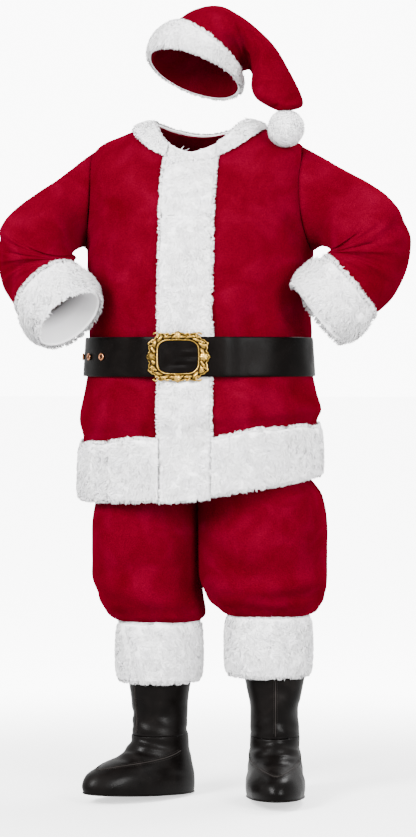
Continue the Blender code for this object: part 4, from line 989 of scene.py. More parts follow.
def buckle_plate():
    """The frame: an oblong ring, |cos|^4 + |sin|^4 = 1, with lobes round its outer edge and a
    rolled relief of leaves between two raised rims."""
    angle, across = np.meshgrid(circle(360), np.linspace(0.0, 1.0, 20), indexing="ij")
    cosine, sine = np.cos(angle), np.sin(angle)
    oblong = oval_size(angle, 4)
    scallop = 0.0026 * np.cos(12 * angle) + 0.0014 * np.cos(4 * angle) + 0.0008 * np.cos(36 * angle)
    outer_x = (BUCKLE_HALF_WIDE - LOBE_INSET + scallop) * cosine / oblong
    outer_z = (BUCKLE_HALF_HIGH - LOBE_INSET + scallop) * sine / oblong
    x = between(WINDOW_HALF_WIDE * cosine / oblong, outer_x, across)
    z = between(WINDOW_HALF_HIGH * sine / oblong, outer_z, across)
    crown = CROWN * np.sin(math.pi * np.clip(across, 0.02, 0.98))**0.55
    leaf = np.abs(np.sin(11 * angle + 4.0 * across))**1.1 * bump(across, 0.52, 0.36)
    rims = bump(across, 0.10, 0.09) + bump(across, 0.91, 0.09)
    relief = LEAF_RELIEF * leaf + RIM_RELIEF * rims
    over = on_buckle(x, z, np.maximum(crown + relief - RELIEF_BASE, 0.0004))
    under = on_buckle(x, z, np.zeros_like(x))
    over, under, shade = (np.swapaxes(grid, 0, 1) for grid in (over, under, relief / 0.0030))
    wall("buckle_plate", over, under, GOLD, True, ("buckle_frame",),
         tints=np.clip(shade, 0.0, 1.0))


TUBE_TIP = 0.7                # how far a tube's ends stand out, in radii


def tube(path, radius, sides):
    """A closed tube along a path: circles across it, with a radius for each point, whose first
    and last shrink to close it."""
    path = np.asarray(path, float)
    radius = np.broadcast_to(np.asarray(radius, float), len(path)).copy()
    travel = unit(np.gradient(path, axis=0))
    first = unit(np.cross(travel, np.where(np.abs(travel[:, 2:3]) > 0.9, (1.0, 0.0, 0.0), (0.0, 0.0, 1.0))))
    second = np.cross(travel, first)
    turn = circle(sides)
    ring = (path[:, None] + radius[:, None, None] * (np.cos(turn)[None, :, None] * first[:, None]
                                                     + np.sin(turn)[None, :, None] * second[:, None]))
    ends = np.stack([path[0] - travel[0] * radius[0] * TUBE_TIP,
                     path[-1] + travel[-1] * radius[-1] * TUBE_TIP])
    points = np.concatenate([ring.reshape(-1, 3), ends])
    body = quads(len(path), sides, True)
    faces = [np.stack([body[:, 0], body[:, 1], body[:, 2]], axis=-1),
             np.stack([body[:, 0], body[:, 2], body[:, 3]], axis=-1)]
    number, onward = np.arange(sides), (np.arange(sides) + 1) % sides
    last = (len(path) - 1) * sides
    faces.append(np.stack([onward, number, np.full(sides, len(points) - 2)], axis=-1))
    faces.append(np.stack([last + number, last + onward, np.full(sides, len(points) - 1)], axis=-1))
    return points, turned_out(points, np.concatenate(faces))


def joined(parts):
    """Several (points, faces) parts as one."""
    points, faces, count = [], [], 0
    for part_points, part_faces in parts:
        points.append(part_points)
        faces.append(part_faces + count)
        count += len(part_points)
    return np.concatenate(points), np.concatenate(faces)


def dome(x, z, wide, high, petals):
    """A small rosette on the buckle: a dome whose rim swells and sinks into petals."""
    turn = circle(5 * petals)
    share = np.linspace(0.0, 1.0, 7)[:, None]
    reach = wide * share * (1.0 + 0.16 * np.cos(petals * turn) * share)
    rise = high * (1.0 - share**2)**0.5 + 0.0008 * np.cos(petals * turn) * share * (1 - share)
    rise = rise + 0.0014 * np.exp(-(share / 0.25)**2)
    grids = [on_buckle(x + reach * np.cos(turn), z + reach * np.sin(turn), high_at)
             for high_at in (0.0036 + rise, np.full_like(reach, 0.0030))]
    points = np.concatenate([grid.reshape(-1, 3) for grid in grids])
    faces = wall_faces(len(share), len(turn), True)
    return points, turned_out(points, np.concatenate([faces[:, (0, 1, 2)], faces[:, (0, 2, 3)]]))


def scroll(x, z, turn_x, turn_z, size):
    """A volute on the buckle: a tube along a spiral whose radius falls from 1 to a quarter."""
    run = np.linspace(0.0, 1.0, 26)
    reach = size * (1.0 - 0.78 * run)
    angle = 0.4 + 1.75 * math.pi * run
    path = on_buckle(x + turn_x * reach * np.cos(angle), z + turn_z * reach * np.sin(angle),
                     CROWN + 0.0012 * run)
    return tube(path, 0.0021 - 0.0007 * run, 8)


def buckle_ornament():
    """Volutes in pairs at the corners and rosettes at the middle of each side."""
    parts = []
    for side_x in (-1.0, 1.0):
        for side_z in (-1.0, 1.0):
            for x, z, open_x, open_z, size in VOLUTES:
                parts.append(scroll(side_x * x, side_z * z, side_x * open_x, side_z * open_z, size))
        parts.append(dome(side_x * 0.0600, 0.0, 0.0105, 0.0045, 8))
    for side_z in (-1.0, 1.0):
        parts.append(dome(0.0, side_z * 0.0475, 0.0078, 0.0038, 6))
    points, faces = joined(parts)
    depth = points[:, 1]
    tints = np.clip(0.55 + 120.0 * (np.median(depth) - depth), 0.25, 1.0)
    piece("buckle_ornament", points, faces, GOLD, tints=tints)


def eyelets():
    """Rolled metal eyelets in the strap's free end, each round a dark hole."""
    turns = np.linspace(BUCKLE_TURN, BUCKLE_TURN - 140.0, 281)
    run = run_along(belt_line(np.radians(turns), np.full(281, 0.5)))
    around, roll = circle(EYELET_SIDES)[:, None], circle(12)[None, :]
    reach, high = EYELET_MAJOR + EYELET_MINOR * np.cos(roll), EYELET_MINOR * (1.0 + np.sin(roll))
    ring_faces = quads(EYELET_SIDES + 1, 12, True) % (12 * EYELET_SIDES)
    rim = 1 + np.stack([np.arange(EYELET_SIDES), (np.arange(EYELET_SIDES) + 1) % EYELET_SIDES], axis=-1)
    fan = np.insert(rim, 0, 0, axis=1)
    below = 1 + EYELET_SIDES
    disc_faces = np.concatenate([fan, fan[:, ::-1] + below,
                                 np.stack([rim[:, 1], rim[:, 0], rim[:, 0] + below], axis=-1),
                                 np.stack([rim[:, 1], rim[:, 0] + below, rim[:, 1] + below], axis=-1)])
    for number, distance in enumerate(EYELET_ALONG, start=1):
        turn_deg = float(np.interp(distance, run, turns))
        turn, middle = np.array(math.radians(turn_deg)), np.array(0.5)
        face = face_of(belt_line, turn, middle)
        centre = belt_line(turn, middle) + (float(strap_lift(turn_deg)) + LEATHER + 0.0004) * face
        across = unit(np.cross(face, (0.0, 0.0, 1.0)))
        ray = np.cos(around)[..., None] * across + np.sin(around)[..., None] * np.cross(across, face)
        ring = centre + reach[..., None] * ray + high[..., None] * face
        piece(f"eyelet_{number}_rim", ring, turned_out(ring.reshape(-1, 3), ring_faces), COPPER,
              (f"eyelet_{number}",), tints=np.full(12 * EYELET_SIDES, 0.8))
        disc = np.concatenate([centre[None], centre + HOLE_HALF * ray[:, 0]]) + 0.0003 * face
        disc = np.concatenate([disc, disc - 0.0005 * face])
        piece(f"eyelet_{number}_hole", disc, turned_out(disc - centre, disc_faces),
              BELT_BLACK)


def refinish(node_name, finish_for):
    """Gives a CAD node that keeps its own form the finish of its material."""
    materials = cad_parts[node_name].data.materials
    materials.clear()
    materials.append(finish_for)


def build_belt():
    """Strap, buckle and eyelets; the bar behind the strap keeps its own form."""
    belt_strap()
    buckle_plate()
    buckle_ornament()
    eyelets()
    refinish("buckle_bar", GOLD)


build_belt()


# ---- trousers ------------------------------------------------------------------------------------
# z, outer_x, inner_x, front_y, back_y: from the waist down to the gathered end of each leg
LEGS = {
    "right": np.array((
        (1.000, -0.246, -0.0006, -0.176, 0.151), (0.930, -0.242, -0.0006, -0.168, 0.150),
        (0.840, -0.238, -0.0006, -0.156, 0.144), (0.760, -0.232, -0.0006, -0.146, 0.134),
        (0.690, -0.240, -0.0006, -0.141, 0.134), (0.620, -0.252, -0.0008, -0.139, 0.138),
        (0.550, -0.249, -0.0010, -0.137, 0.133), (0.490, -0.240, -0.0006, -0.133, 0.129),
        (0.452, -0.231, 0.0050, -0.124, 0.120), (0.424, -0.212, 0.0060, -0.109, 0.105),
        (0.412, -0.189, -0.0020, -0.092, 0.088),
    )),
    "left": np.array((
        (1.000, 0.246, 0.0006, -0.176, 0.151), (0.930, 0.242, 0.0006, -0.168, 0.150),
        (0.840, 0.240, 0.0006, -0.156, 0.144), (0.760, 0.242, 0.0006, -0.146, 0.134),
        (0.700, 0.281, 0.0006, -0.141, 0.134), (0.620, 0.294, 0.0008, -0.139, 0.140),
        (0.550, 0.293, 0.0010, -0.137, 0.136), (0.500, 0.292, 0.0040, -0.134, 0.132),
        (0.466, 0.287, 0.0220, -0.123, 0.122), (0.441, 0.272, 0.0500, -0.106, 0.107),
        (0.429, 0.252, 0.0660, -0.090, 0.090),
    )),
}
LEG_SQUARENESS = 2.25
CREASE_WIDTH = 1.7            # a leg's creases are this much wider than their half place
SEAT_TOP_Z, CROTCH_Z = 0.93, 0.715
WAIST_ROW = 3.72              # the jacket's row at the trousers' upper edge
WAIST_IN = PLUSH + 0.0022     # how far inside the jacket that edge runs
# place round the leg, half of it, row, half_rows, slant, height: the smaller creases of a leg
LEG_CREASES = (
    (0.62, 0.16, 5.3, 0.8, -1.6, -0.0045), (0.46, 0.16, 6.3, 0.8, -1.3, -0.0040),
    (0.25, 0.18, 7.2, 0.8, 0.8, -0.0040), (0.55, 0.14, 7.7, 0.7, 0.9, 0.0035),
    (0.12, 0.16, 5.2, 1.0, 1.4, -0.0035), (0.36, 0.12, 8.7, 0.7, -0.8, -0.0045),
    (0.72, 0.12, 8.5, 0.7, 0.8, -0.0040), (-0.35, 0.16, 5.8, 0.9, 1.4, -0.0045),
    (-0.62, 0.15, 6.8, 0.8, -1.2, -0.0045), (-0.22, 0.15, 7.8, 0.8, -0.8, -0.0040),
    (-0.50, 0.13, 8.6, 0.7, 0.7, -0.0040), (0.85, 0.10, 6.9, 0.9, 0.9, -0.0035),
    (-0.05, 0.12, 8.4, 0.7, 0.0, -0.0040), (0.05, 0.14, 6.7, 0.8, -0.9, 0.0035),
)
LEG_SHIFTS = {"right": 0.0, "left": 0.07}    # the two legs don't crease alike
LEG_PRESS = 0.0019            # how far each leg's cloth presses over the middle
LEG_GAP = 0.0008              # what a front or a back leaves free at its seams, in half turns
# slant, row, half_rows, place round the leg, half of it, height: drag lines from the crotch
LEG_FOLDS = ((-0.9, 5.9, 0.9, 0.6, 0.45, 0.008), (1.2, 6.6, 0.8, 0.3, 0.4, 0.007),
             (1.0, 6.2, 0.9, -0.5, 0.5, 0.008))


def leg_folds(row, ahead):
    """Height of a leg's broad ridges: drag lines from the crotch, and gathers at the ankle."""
    drag = sum(high * bump(row - slant * ahead, middle, half_rows) * bump(ahead, place, half_place)
               for slant, middle, half_rows, place, half_place, high in LEG_FOLDS)
    return drag + 0.003 * np.cos(9 * math.pi * ahead) * bump(row, 8.8, 1.3)


def leg(name):
    """The surface of one leg: a rounded oval at each level, whose arc runs from the inner seam
    round the outer side, at 0, and back, and opens above the crotch to meet the other leg."""
    table, side, shift = LEGS[name], SIDES[name], LEG_SHIFTS[name]

    def surface(round_it, row):
        round_it, row = paired(round_it, row)
        z, outer_x, inner_x, front_y, back_y = np.moveaxis(along(table, row), -1, 0)
        inner_x = inner_x - side * LEG_PRESS
        closed = 1.0 - np.sqrt(np.clip((z - CROTCH_Z) / (SEAT_TOP_Z - CROTCH_Z), 0.0, 1.0))
        end = math.pi / 2 * (1.0 + closed)
        end_cosine = np.cos(end) / oval_size(end, LEG_SQUARENESS)
        half = (outer_x - inner_x) / (1.0 - end_cosine)
        ahead = side * round_it
        angle = ahead * end
        oval = oval_size(angle, LEG_SQUARENESS)
        swell = leg_folds(row, ahead)
        for place, half_place, middle, half_rows, slant, high in LEG_CREASES:
            lowered = row - slant * (ahead - place)
            swell = swell + high * bump(lowered, middle + 4 * shift, half_rows) * bump(
                ahead, place + shift, CREASE_WIDTH * half_place)
        x = inner_x - half * end_cosine + half * np.cos(angle) / oval + side * swell * np.cos(angle)
        depth = np.where(angle > 0.0, front_y, -back_y)
        y = depth * np.sin(angle) / oval - swell * np.sin(angle)
        legs = np.stack([x, y, z], axis=-1)
        turn = -angle if side > 0 else math.pi + angle
        waist_row = np.full(row.shape, WAIST_ROW)
        waist = jacket(turn, waist_row) - WAIST_IN * face_of(jacket, turn, waist_row)
        waist[..., 2] = z
        return legs + (1.0 - ease(row / 0.7))[..., None] * (waist - legs)

    return surface


# middle_x, middle_y, top_z, bottom_z, half_wide, half_deep
ANKLE_FURS = {
    "right": (-0.0955, -0.002, 0.4115, 0.276, 0.0885, 0.0870),
    "left": (0.1585, 0.000, 0.4285, 0.293, 0.0885, 0.0870),
}
ANKLE_FUR = 0.0155            # depth of the fur at the ankles


def trousers():
    """A front and a back for each leg."""
    top_z = float(jacket(np.array(0.0), np.array(WAIST_ROW))[2]) - 0.0009
    rows = np.linspace(0.0, 10.0, steps_for(0.62))[:, None]
    for name, side in SIDES.items():
        LEGS[name][0, 0] = top_z
        for cut, first, last, seed in (("front", 0.0, 1.0, 101), ("back", -1.0, 0.0, 111)):
            steps = side * np.linspace(first + LEG_GAP, last - LEG_GAP, steps_for(0.42))[None, :]
            round_it, level = np.broadcast_arrays(steps, rows)
            made = cloth_wall(f"trouser_{cut}_{name}_plush", leg(name), round_it, level,
                              seed + int(side), (f"trouser_{cut}_{name}",), PLUSH_TROUSERS)


def ankle_fur(name, seed):
    """The wide fur band at the ankle, open for the leg."""
    centre_x, centre_y, top_z, bottom_z, half_wide, half_deep = ANKLE_FURS[name]
    share = np.linspace(0.0, 1.0, 21)[:, None]
    round_it = circle(steps_for(0.6, FUR_STEP))[None, :]
    flare = 1.0 + 0.012 * np.sin(3 * round_it + seed) * share
    x = centre_x + half_wide * flare * np.cos(round_it)
    y = centre_y + half_deep * flare * np.sin(round_it)
    rings = np.stack(np.broadcast_arrays(x, y, between(top_z, bottom_z, share)), axis=-1)
    face = np.stack(np.broadcast_arrays(np.cos(round_it), np.sin(round_it), np.zeros_like(share)), axis=-1)
    depth = np.broadcast_to(pile_depth(share, ANKLE_FUR), rings.shape[:2])
    fur_trim(f"trouser_cuff_{name}", rings, unit(face), depth, np.gradient(rings, axis=0), True, seed,
             (f"trouser_cuff_{name}",), lean=0.6)


def build_trousers():
    """Legs, the fur at the ankles, and the elastic casing, which keeps its own form."""
    trousers()
    ankle_fur("left", 121)
    ankle_fur("right", 125)
    refinish("waistband", ELASTIC)


build_trousers()

# ---- boot tops -----------------------------------------------------------------------------------
# z, half_wide, half_long: the shaft from its hidden upper edge to the ankle
SHAFT = np.array((
    (0.345, 0.0853, 0.0853), (0.318, 0.0800, 0.0815), (0.290, 0.0715, 0.0770), (0.262, 0.0650, 0.0735),
    (0.225, 0.0580, 0.0700), (0.185, 0.0560, 0.0680), (0.150, 0.0570, 0.0690),
))
# middle, half_long, half_wide, back_z, front_z: the foot from the ankle to its lower edge
FOOT = np.array((
    (0.000, 0.0690, 0.0570, 0.1497, 0.1497), (0.003, 0.0790, 0.0580, 0.1120, 0.1270),
    (0.014, 0.0980, 0.0610, 0.0800, 0.1060), (0.036, 0.1280, 0.0650, 0.0560, 0.0880),
    (0.053, 0.1480, 0.0675, 0.0360, 0.0710), (0.060, 0.1550, 0.0680, 0.0220, 0.0490),
    (0.059, 0.1520, 0.0655, 0.0100, 0.0310),
))
# ankle_x, ankle_y, heading_deg
BOOTS = {"right": (-0.0925, -0.010, -41.5), "left": (0.1730, 0.004, 10.0)}
VINYL = 0.002                 # thickness of the boots' vinyl
BOOT_STEP = 0.0049
BOOT_LAST_ROW = 6.0
SEAM_ROWS = slice(16, 50)     # the rows of a shaft that its seams run down
SEAM_RADIUS, EDGE_RADIUS = 0.0011, 0.0019
STITCH_ASIDE, STITCH_STEP = 0.0045, 0.0052
STITCH_RUN, STITCH_RADII = np.array((0.0, 0.0016, 0.0032)), np.array((0.0003, 0.0005, 0.0003))
VAMP_SWEEP = 0.30             # how far round the foot the seam over the toes reaches
VAMP_ROWS, VAMP_STEPS = (10, 34), 70    # the foot's rows at that seam's ends and at its middle
VAMP_EVENED = 7               # its places are evened out over this many


def boot_frame(name):
    """The ankle's place, and the directions ahead and across of a boot."""
    ankle_x, ankle_y, heading_deg = BOOTS[name]
    heading = math.radians(heading_deg)
    return (np.array((ankle_x, ankle_y, 0.0)), np.array((math.sin(heading), -math.cos(heading), 0.0)),
            np.array((math.cos(heading), math.sin(heading), 0.0)))


def shaft(name):
    """The surface of a shaft: ovals from the fur down to the ankle, with a crease in front."""
    ankle, ahead, across = boot_frame(name)
    fur = ANKLE_FURS[name]

    def surface(round_it, row):
        round_it, row = paired(round_it, row)
        z, half_wide, half_long = np.moveaxis(along(SHAFT, row), -1, 0)
        shift = ease(1.0 - row / 2.5)[..., None] * (np.array((fur[0], fur[1], 0.0)) - ankle)
        crease = 0.004 * bump(row, 4.7, 0.7) * bump(round_it, 1.0, 1.4)
        point = ankle + shift + ((half_long - crease) * np.cos(round_it))[..., None] * ahead
        point = point + ((half_wide - crease) * np.sin(round_it))[..., None] * across
        point[..., 2] = z
        return point
    return surface


def foot(name):
    """The surface of a foot: ovals that lengthen to the toe and tilt down in front."""
    ankle, ahead, across = boot_frame(name)

    def surface(round_it, row):
        round_it, row = paired(round_it, row)
        middle, half_long, half_wide, back_z, front_z = np.moveaxis(along(FOOT, row), -1, 0)
        cosine, sine = np.cos(round_it), np.sin(round_it)
        narrow = 1.0 - 0.10 * ease(row / 4.0) * np.clip(-cosine, 0.0, 1.0)
        point = ankle + (middle + half_long * cosine)[..., None] * ahead
        point = point + (half_wide * narrow * sine)[..., None] * across
        point[..., 2] = between(back_z, front_z, 0.5 + 0.5 * cosine)
        return point
    return surface


# share down the tube, place round it (0 ahead), half widths, slant, height
SHAFT_CREASES = (
    (0.86, 0.6, 0.045, 1.2, 0.06, -0.0032), (0.78, 5.6, 0.045, 1.1, -0.06, -0.0028),
    (0.92, 5.3, 0.040, 1.0, -0.05, -0.0030), (0.70, 1.6, 0.050, 1.0, 0.05, -0.0022),
    (0.95, 2.8, 0.040, 1.2, 0.03, -0.0030), (0.62, 3.6, 0.060, 1.1, -0.04, -0.0022),
    (0.52, 0.3, 0.070, 0.9, 0.05, -0.0016), (0.84, 3.9, 0.045, 1.0, 0.04, -0.0024),
    (0.98, 0.1, 0.035, 1.3, 0.00, -0.0026),
)
FOOT_CREASES = (
    (0.10, 0.8, 0.050, 1.1, 0.07, -0.0036), (0.12, 5.5, 0.050, 1.1, -0.07, -0.0036),
    (0.22, 0.4, 0.045, 1.2, 0.04, -0.0030), (0.25, 5.9, 0.045, 1.1, -0.05, -0.0026),
    (0.34, 0.1, 0.050, 1.3, 0.02, -0.0024), (0.16, 3.1, 0.060, 1.3, 0.00, -0.0020),
    (0.55, 1.7, 0.080, 0.9, 0.06, -0.0018), (0.50, 4.6, 0.080, 0.9, -0.06, -0.0018),
)


def boot_wall(name, surface, rows, first_row, seed, creases):
    """A shaft or a foot as a closed wall, with creases and a faint unevenness."""
    turn, row = paired(circle(steps_for(0.46, BOOT_STEP))[None, :],
                       np.linspace(first_row, BOOT_LAST_ROW, rows)[:, None])
    points = surface(turn, row)
    face = ring_face(points)
    points = creased(points, face, (row - first_row) / (BOOT_LAST_ROW - first_row), turn, creases)
    points = points + (0.0006 * waves(points, 0.05, seed))[..., None] * face
    wall(f"{name}_vinyl", points, points - WALL_SHARE * VINYL * face, BOOT_BLACK,
         True, (name,))
    return points, face


def seam_line(name, path, face):
    """A raised seam with a row of stitches on each side of it."""
    side = np.cross(unit(np.gradient(path, axis=0)), face)
    parts = [tube(path + 0.0002 * face, SEAM_RADIUS, 8)]
    run = run_along(path)
    for offset in (-STITCH_ASIDE, STITCH_ASIDE):
        beside = path + offset * side + 0.0005 * face
        for start in np.arange(0.004, run[-1] - 0.006, STITCH_STEP):
            spots = np.stack([np.interp(start + STITCH_RUN, run, beside[:, axis])
                              for axis in range(3)], axis=-1)
            parts.append(tube(spots, STITCH_RADII, 5))
    points, faces = joined(parts)
    piece(name, points, faces, SEAM_GREY)


def boot(name, seed):
    """A boot top: shaft, foot, the seams on them and the rolled lower edge."""
    upper, upper_face = boot_wall(f"boot_shaft_{name}", shaft(name), 52, 0.0, seed, SHAFT_CREASES)
    lower, lower_face = boot_wall(f"boot_foot_{name}", foot(name), 60, 0.02, seed + 1, FOOT_CREASES)
    for label, place, lift in (("shaft", 0, 0.0004), ("back", upper.shape[1] // 2, 0.0)):
        face = upper_face[SEAM_ROWS, place]
        seam_line(f"boot_seam_{name}_{label}", upper[SEAM_ROWS, place] + lift * face, face)
    rows, columns = lower.shape[:2]
    sweep = np.linspace(VAMP_SWEEP, -VAMP_SWEEP, VAMP_STEPS)
    column = np.round(sweep * columns).astype(int) % columns
    level = np.round(between(*VAMP_ROWS, 1.0 - np.abs(sweep) / VAMP_SWEEP)).astype(int)
    face, kernel = lower_face[level, column], np.ones(VAMP_EVENED) / VAMP_EVENED
    padded = np.pad(lower[level, column], ((VAMP_EVENED // 2, VAMP_EVENED // 2), (0, 0)), mode="edge")
    vamp = np.stack([np.convolve(padded[:, axis], kernel, mode="valid") for axis in range(3)], axis=-1)
    seam_line(f"boot_seam_{name}_vamp", vamp + 0.0006 * face, face)
    edge = np.concatenate([lower[rows - 2], lower[rows - 2][:1]])
    points, faces = tube(edge + np.array((0.0, 0.0, -0.001)), EDGE_RADIUS, 8)
    piece(f"boot_edge_{name}", points, faces, BOOT_BLACK)


for which, which_seed in (("left", 131), ("right", 141)):
    boot(which, which_seed)

# ---- hat -----------------------------------------------------------------------------------------
HAT_TURN = math.radians(10)   # the hat flops in a plane turned this far from the body's
POMPOM_HALF = 0.0425
CORE_SHARE, UNDERFUR_SHARE = 0.62, 0.84  # of that, to the pompom's core and to its dense underfur
POMPOM_FULLER = 1.2           # its locks are this much closer together than a trim's
POMPOM_SINK = 0.0017          # how deep the pompom is pressed in where it rests
POMPOM_ACROSS, POMPOM_Z = 0.193, 1.532
# outer_across, outer_z, inner_across, inner_z, half_deep, front_lift, behind: the hat from its lower
# edge round the fold to the tip, each ring between an outer and an inner point
HAT = np.array((
    (-0.113, 1.704, 0.086, 1.637, 0.117, 0.034, 0.010), (-0.102, 1.738, 0.089, 1.650, 0.120, 0.034, 0.010),
    (-0.066, 1.772, 0.091, 1.664, 0.119, 0.032, 0.008), (-0.018, 1.802, 0.095, 1.676, 0.112, 0.029, 0.004),
    (0.038, 1.814, 0.103, 1.682, 0.102, 0.023, 0.000), (0.090, 1.794, 0.112, 1.679, 0.091, 0.017, -0.008),
    (0.136, 1.758, 0.117, 1.669, 0.080, 0.011, -0.020), (0.178, 1.709, 0.117, 1.650, 0.070, 0.006, -0.036),
    (0.208, 1.656, 0.117, 1.626, 0.060, 0.000, -0.052), (0.231, 1.608, 0.127, 1.601, 0.048, 0.000, -0.066),
    (0.232, 1.582, 0.156, 1.582, 0.033, 0.000, -0.076),
    (0.209, 1.5718, 0.177, 1.5718, 0.016, 0.000, -0.080),
))
HAT_BAND_ROWS = (0.0, 1.9)
# row, half_rows, place round the cone, half of it, depth: the broad folds
HAT_FOLDS = ((4.6, 0.9, 2.2, 1.1, 0.016), (7.4, 0.9, 1.7, 1.2, 0.010), (5.6, 1.0, 4.2, 1.2, 0.012))
TIP_FORWARD_SHARES = (0.45, 0.65, 0.83, 0.95, 1.0)  # how the last rows come forward to the pompom
# share down the cone, place round it (0 outer, a quarter turn on in front), half widths, slant, height
HAT_CREASES = (
    (0.30, 2.35, 0.060, 0.55, 0.030, -0.0090), (0.44, 2.60, 0.050, 0.50, 0.030, -0.0080),
    (0.37, 1.70, 0.050, 0.60, -0.040, 0.0050), (0.56, 2.05, 0.045, 0.70, 0.040, -0.0060),
    (0.66, 1.30, 0.040, 0.70, -0.050, -0.0055), (0.76, 2.20, 0.040, 0.60, 0.030, -0.0060),
    (0.22, 1.00, 0.060, 0.70, -0.050, -0.0050), (0.50, 0.70, 0.060, 0.60, 0.030, -0.0045),
    (0.86, 1.20, 0.032, 0.80, 0.030, -0.0055), (0.33, 4.30, 0.060, 0.60, 0.040, -0.0080),
    (0.48, 4.00, 0.050, 0.60, -0.030, -0.0070), (0.62, 4.70, 0.050, 0.60, 0.030, -0.0060),
    (0.74, 4.10, 0.040, 0.60, -0.030, -0.0055), (0.20, 5.20, 0.060, 0.60, 0.030, -0.0045),
    (0.93, 2.60, 0.026, 0.90, 0.020, -0.0045), (0.42, 3.30, 0.050, 0.45, 0.000, -0.0070),
)


def hat(round_it, row):
    """A point of the hat: round_it is 0 at the outer point, and a quarter turn on at the front."""
    round_it, row = paired(round_it, row)
    outer_a, outer_z, inner_a, inner_z, deep, lift, behind = np.moveaxis(along(HAT, row), -1, 0)
    fold = sum(depth * bump(row, middle, half_rows) * bump(round_it, place, half_place)
               for middle, half_rows, place, half_place, depth in HAT_FOLDS)
    cosine, sine = np.cos(round_it), np.sin(round_it)
    across = (outer_a + inner_a) / 2 + (outer_a - inner_a) / 2 * cosine
    z = (outer_z + inner_z) / 2 + (outer_z - inner_z) / 2 * cosine + lift * sine
    forward = (deep - fold) * sine - behind
    x = across * math.cos(HAT_TURN) + forward * math.sin(HAT_TURN)
    y = across * math.sin(HAT_TURN) - forward * math.cos(HAT_TURN)
    return np.stack([x, y, z], axis=-1)


def pompom_centre(forward):
    """Where the pompom's middle is, when the hat's tip is that far forward."""
    return np.array((POMPOM_ACROSS * math.cos(HAT_TURN) + forward * math.sin(HAT_TURN),
                     POMPOM_ACROSS * math.sin(HAT_TURN) - forward * math.cos(HAT_TURN), POMPOM_Z))


def pompom_forward():
    """How far forward the pompom just clears the slope of the shoulder that it rests on."""
    turn, level = np.meshgrid(np.radians(np.arange(-90.0, 31.0, 3.0)), np.arange(8.0, 12.01, 0.1))
    shoulder = jacket(turn, level).reshape(-1, 3)
    forward = 0.05
    while np.min(np.linalg.norm(shoulder - pompom_centre(forward), axis=-1)) < POMPOM_HALF - POMPOM_SINK:
        forward += 0.0005
    return forward


def hat_cone():
    """The folded cone of plush, from under the fur band to its tip."""
    turn, row = paired(circle(steps_for(0.62))[None, :],
                       np.linspace(0.0, len(HAT) - 1.0, steps_for(0.72))[:, None])
    points = hat(turn, row)
    face = ring_face(points)
    share = row / (len(HAT) - 1.0)
    points = rumpled(creased(points, face, share, turn, HAT_CREASES), face, 151, HAT_RUMPLE)
    cone = wall("hat_cone_plush", points, points - PLUSH * face, PLUSH_JACKET,
                True, ("hat_cone",))


def hat_band():
    """The fur band round the hat's lower edge."""
    share = np.linspace(0.0, 1.0, 17)[:, None]
    rows = between(*HAT_BAND_ROWS, share) + 0.06 * (share - 0.8)
    turn, row = paired(circle(steps_for(0.66, FUR_STEP))[None, :], rows)
    face = face_of(hat, turn, row)
    under = hat(turn, row) + 0.0012 * face
    depth = np.broadcast_to(pile_depth(share, THIN_FUR), under.shape[:2])
    fur_trim("hat_band", under, face, depth, -np.gradient(under, axis=0), True, 155,
             ("hat_band_fur",), lean=0.6)


def pompom():
    """The pompom: a ball of fur at the hat's tip."""
    centre = pompom_centre(pompom_forward())
    polar = np.linspace(0.02, math.pi - 0.02, 30)[:, None]
    round_it = circle(56)[None, :]
    face = np.stack(np.broadcast_arrays(np.sin(polar) * np.cos(round_it), np.sin(polar) * np.sin(round_it),
                                        np.cos(polar)), axis=-1)
    core = POMPOM_HALF * CORE_SHARE
    under = centre + core * face
    lumps = 1.0 + 0.05 * waves(under, 0.020, 161)
    over = centre + (POMPOM_HALF * UNDERFUR_SHARE * lumps)[..., None] * face
    # painted shade: the underfur is painted a little darker than the locks' tips, and unevenly at random
    backing = wall("pompom_backing", over, under, WHITE_FUR, True, ("pompom",),
                   tints=0.50 + 0.25 * waves(under, 0.02, 162))
    depth = np.full(under.shape[:2], POMPOM_HALF - core)
    comb = np.broadcast_to(np.array((0.25, -0.10, -1.0)), under.shape)
    count = int(4 * math.pi * POMPOM_HALF**2 * LOCKS_FOR_AREA * POMPOM_FULLER)
    root, grown, deep, lay = seeds(*map(closed, (under, face, depth, comb)), count)
    locks("pompom_pile", root, grown, deep, lay, lean=0.35)


def build_hat():
    """The cone of the hat, its fur band and the pompom."""
    HAT[-5:, 6] = -pompom_forward() * np.array(TIP_FORWARD_SHARES)
    hat_cone()
    hat_band()
    pompom()


build_hat()


# ---- the place it is shown in ---------------------------------------------------------------------
AZIMUTH, ELEVATION, DISTANCE = math.radians(10.0), math.radians(1.06), 6.0
AIM_ACROSS, AIM_Z = 0.018, -0.5435      # what the camera looks at, in the plane that faces it
LENS_MM, SENSOR_MM = 112.2, 36.0
FLOOR_Z = 0.006 - SHOULDER_HEIGHT       # just under the lower edge of the boot tops
FLOOR_HALF = 90.0
PAPER_GLOW = 7.0              # of the floor, far from the boots
ROOM_LIGHT, ROOM_SEEN = 1.9, 10.0       # the room's strength as a light, and as it is seen


def stage_finish():
    """A plain pale matt surface that glows white away from the boots, like a lit backdrop."""
    made, tree, shader = finish("studio_paper", 0.95, Specular_IOR_Level=0.0, Emission_Strength=PAPER_GLOW)
    shader.inputs["Base Color"].default_value = (0.90, 0.90, 0.90, 1.0)
    place = tree.nodes.new("ShaderNodeTexCoord")
    reach = node(tree, "ShaderNodeVectorMath", [(0, place.outputs["Object"])], operation="LENGTH")
    glow = node(tree, "ShaderNodeMapRange", [("Value", reach.outputs["Value"])],
                From_Min=1.42, From_Max=2.6, To_Min=0.15, To_Max=1.0, interpolation_type="SMOOTHSTEP")
    colour = ramp(tree, glow.outputs["Result"], ((0.0, (0.0, 0.0, 0.0)), (1.0, (1.0, 1.0, 1.0))))
    tree.links.new(colour, shader.inputs["Emission Color"])
    return made


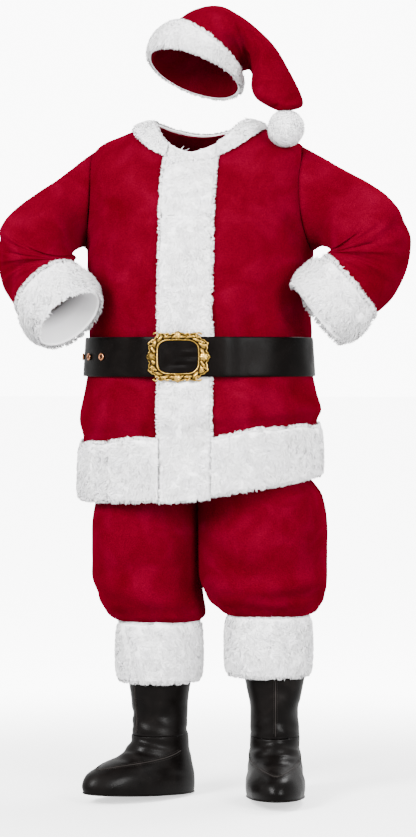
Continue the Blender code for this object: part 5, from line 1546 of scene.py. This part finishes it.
def floor():
    """A level floor that runs out of sight on every side: a square of half width FLOOR_HALF."""
    mesh = bpy.data.meshes.new("floor")
    mesh.from_pydata([(x * FLOOR_HALF, y * FLOOR_HALF, FLOOR_Z)
                      for x, y in ((-1, -1), (1, -1), (1, 1), (-1, 1))], [], [(0, 1, 2, 3)])
    mesh.materials.append(stage_finish())
    made = put("floor", mesh)
    made.visible_diffuse = made.visible_glossy = False


def lamp(name, place, aim, width, height, watts):
    """A soft box at a place, turned to what it lights."""
    data = bpy.data.lights.new(name, "AREA")
    data.shape = "RECTANGLE"
    data.size, data.size_y = width, height
    data.energy = watts
    made = put(name, data)
    made.location = place
    made.rotation_euler = (Vector(aim) - Vector(place)).to_track_quat("-Z", "Y").to_euler()


def camera():
    """The camera, almost level and a little to the wearer's left."""
    aim = Vector((AIM_ACROSS * math.cos(AZIMUTH), AIM_ACROSS * math.sin(AZIMUTH), AIM_Z))
    back = Vector((math.sin(AZIMUTH) * math.cos(ELEVATION), -math.cos(AZIMUTH) * math.cos(ELEVATION),
                   math.sin(ELEVATION)))
    data = bpy.data.cameras.new("camera")
    data.sensor_fit = "VERTICAL"
    data.sensor_height = SENSOR_MM
    data.lens = LENS_MM
    made = put("camera", data)
    made.location = aim + DISTANCE * back
    made.rotation_euler = (-back).to_track_quat("-Z", "Y").to_euler()
    bpy.context.scene.camera = made


def room():
    """The white room: a soft light from all round, brighter where it is looked at than where it lights."""
    world = bpy.data.worlds.new("studio")
    bpy.context.scene.world = world
    world.use_nodes = True
    tree = world.node_tree
    lighting = tree.nodes["Background"]
    seen = tree.nodes.new("ShaderNodeBackground")
    for background, strength in ((lighting, ROOM_LIGHT), (seen, ROOM_SEEN)):
        background.inputs["Color"].default_value = (1.0, 1.0, 1.0, 1.0)
        background.inputs["Strength"].default_value = strength
    rays = tree.nodes.new("ShaderNodeLightPath")
    either = tree.nodes.new("ShaderNodeMixShader")
    tree.links.new(rays.outputs["Is Camera Ray"], either.inputs["Fac"])
    tree.links.new(lighting.outputs["Background"], either.inputs[1])
    tree.links.new(seen.outputs["Background"], either.inputs[2])
    tree.links.new(either.outputs["Shader"], tree.nodes["World Output"].inputs["Surface"])


room()
floor()
lamp("key", (-2.6, -4.2, 1.9), (0.0, 0.0, -0.5), 1.6, 2.2, 860.0)
lamp("fill", (3.4, -3.6, 0.6), (0.0, 0.0, -0.6), 1.8, 2.4, 470.0)
lamp("back", (1.4, 2.0, 2.2), (0.0, 0.0, -0.2), 1.6, 1.2, 200.0)
camera()
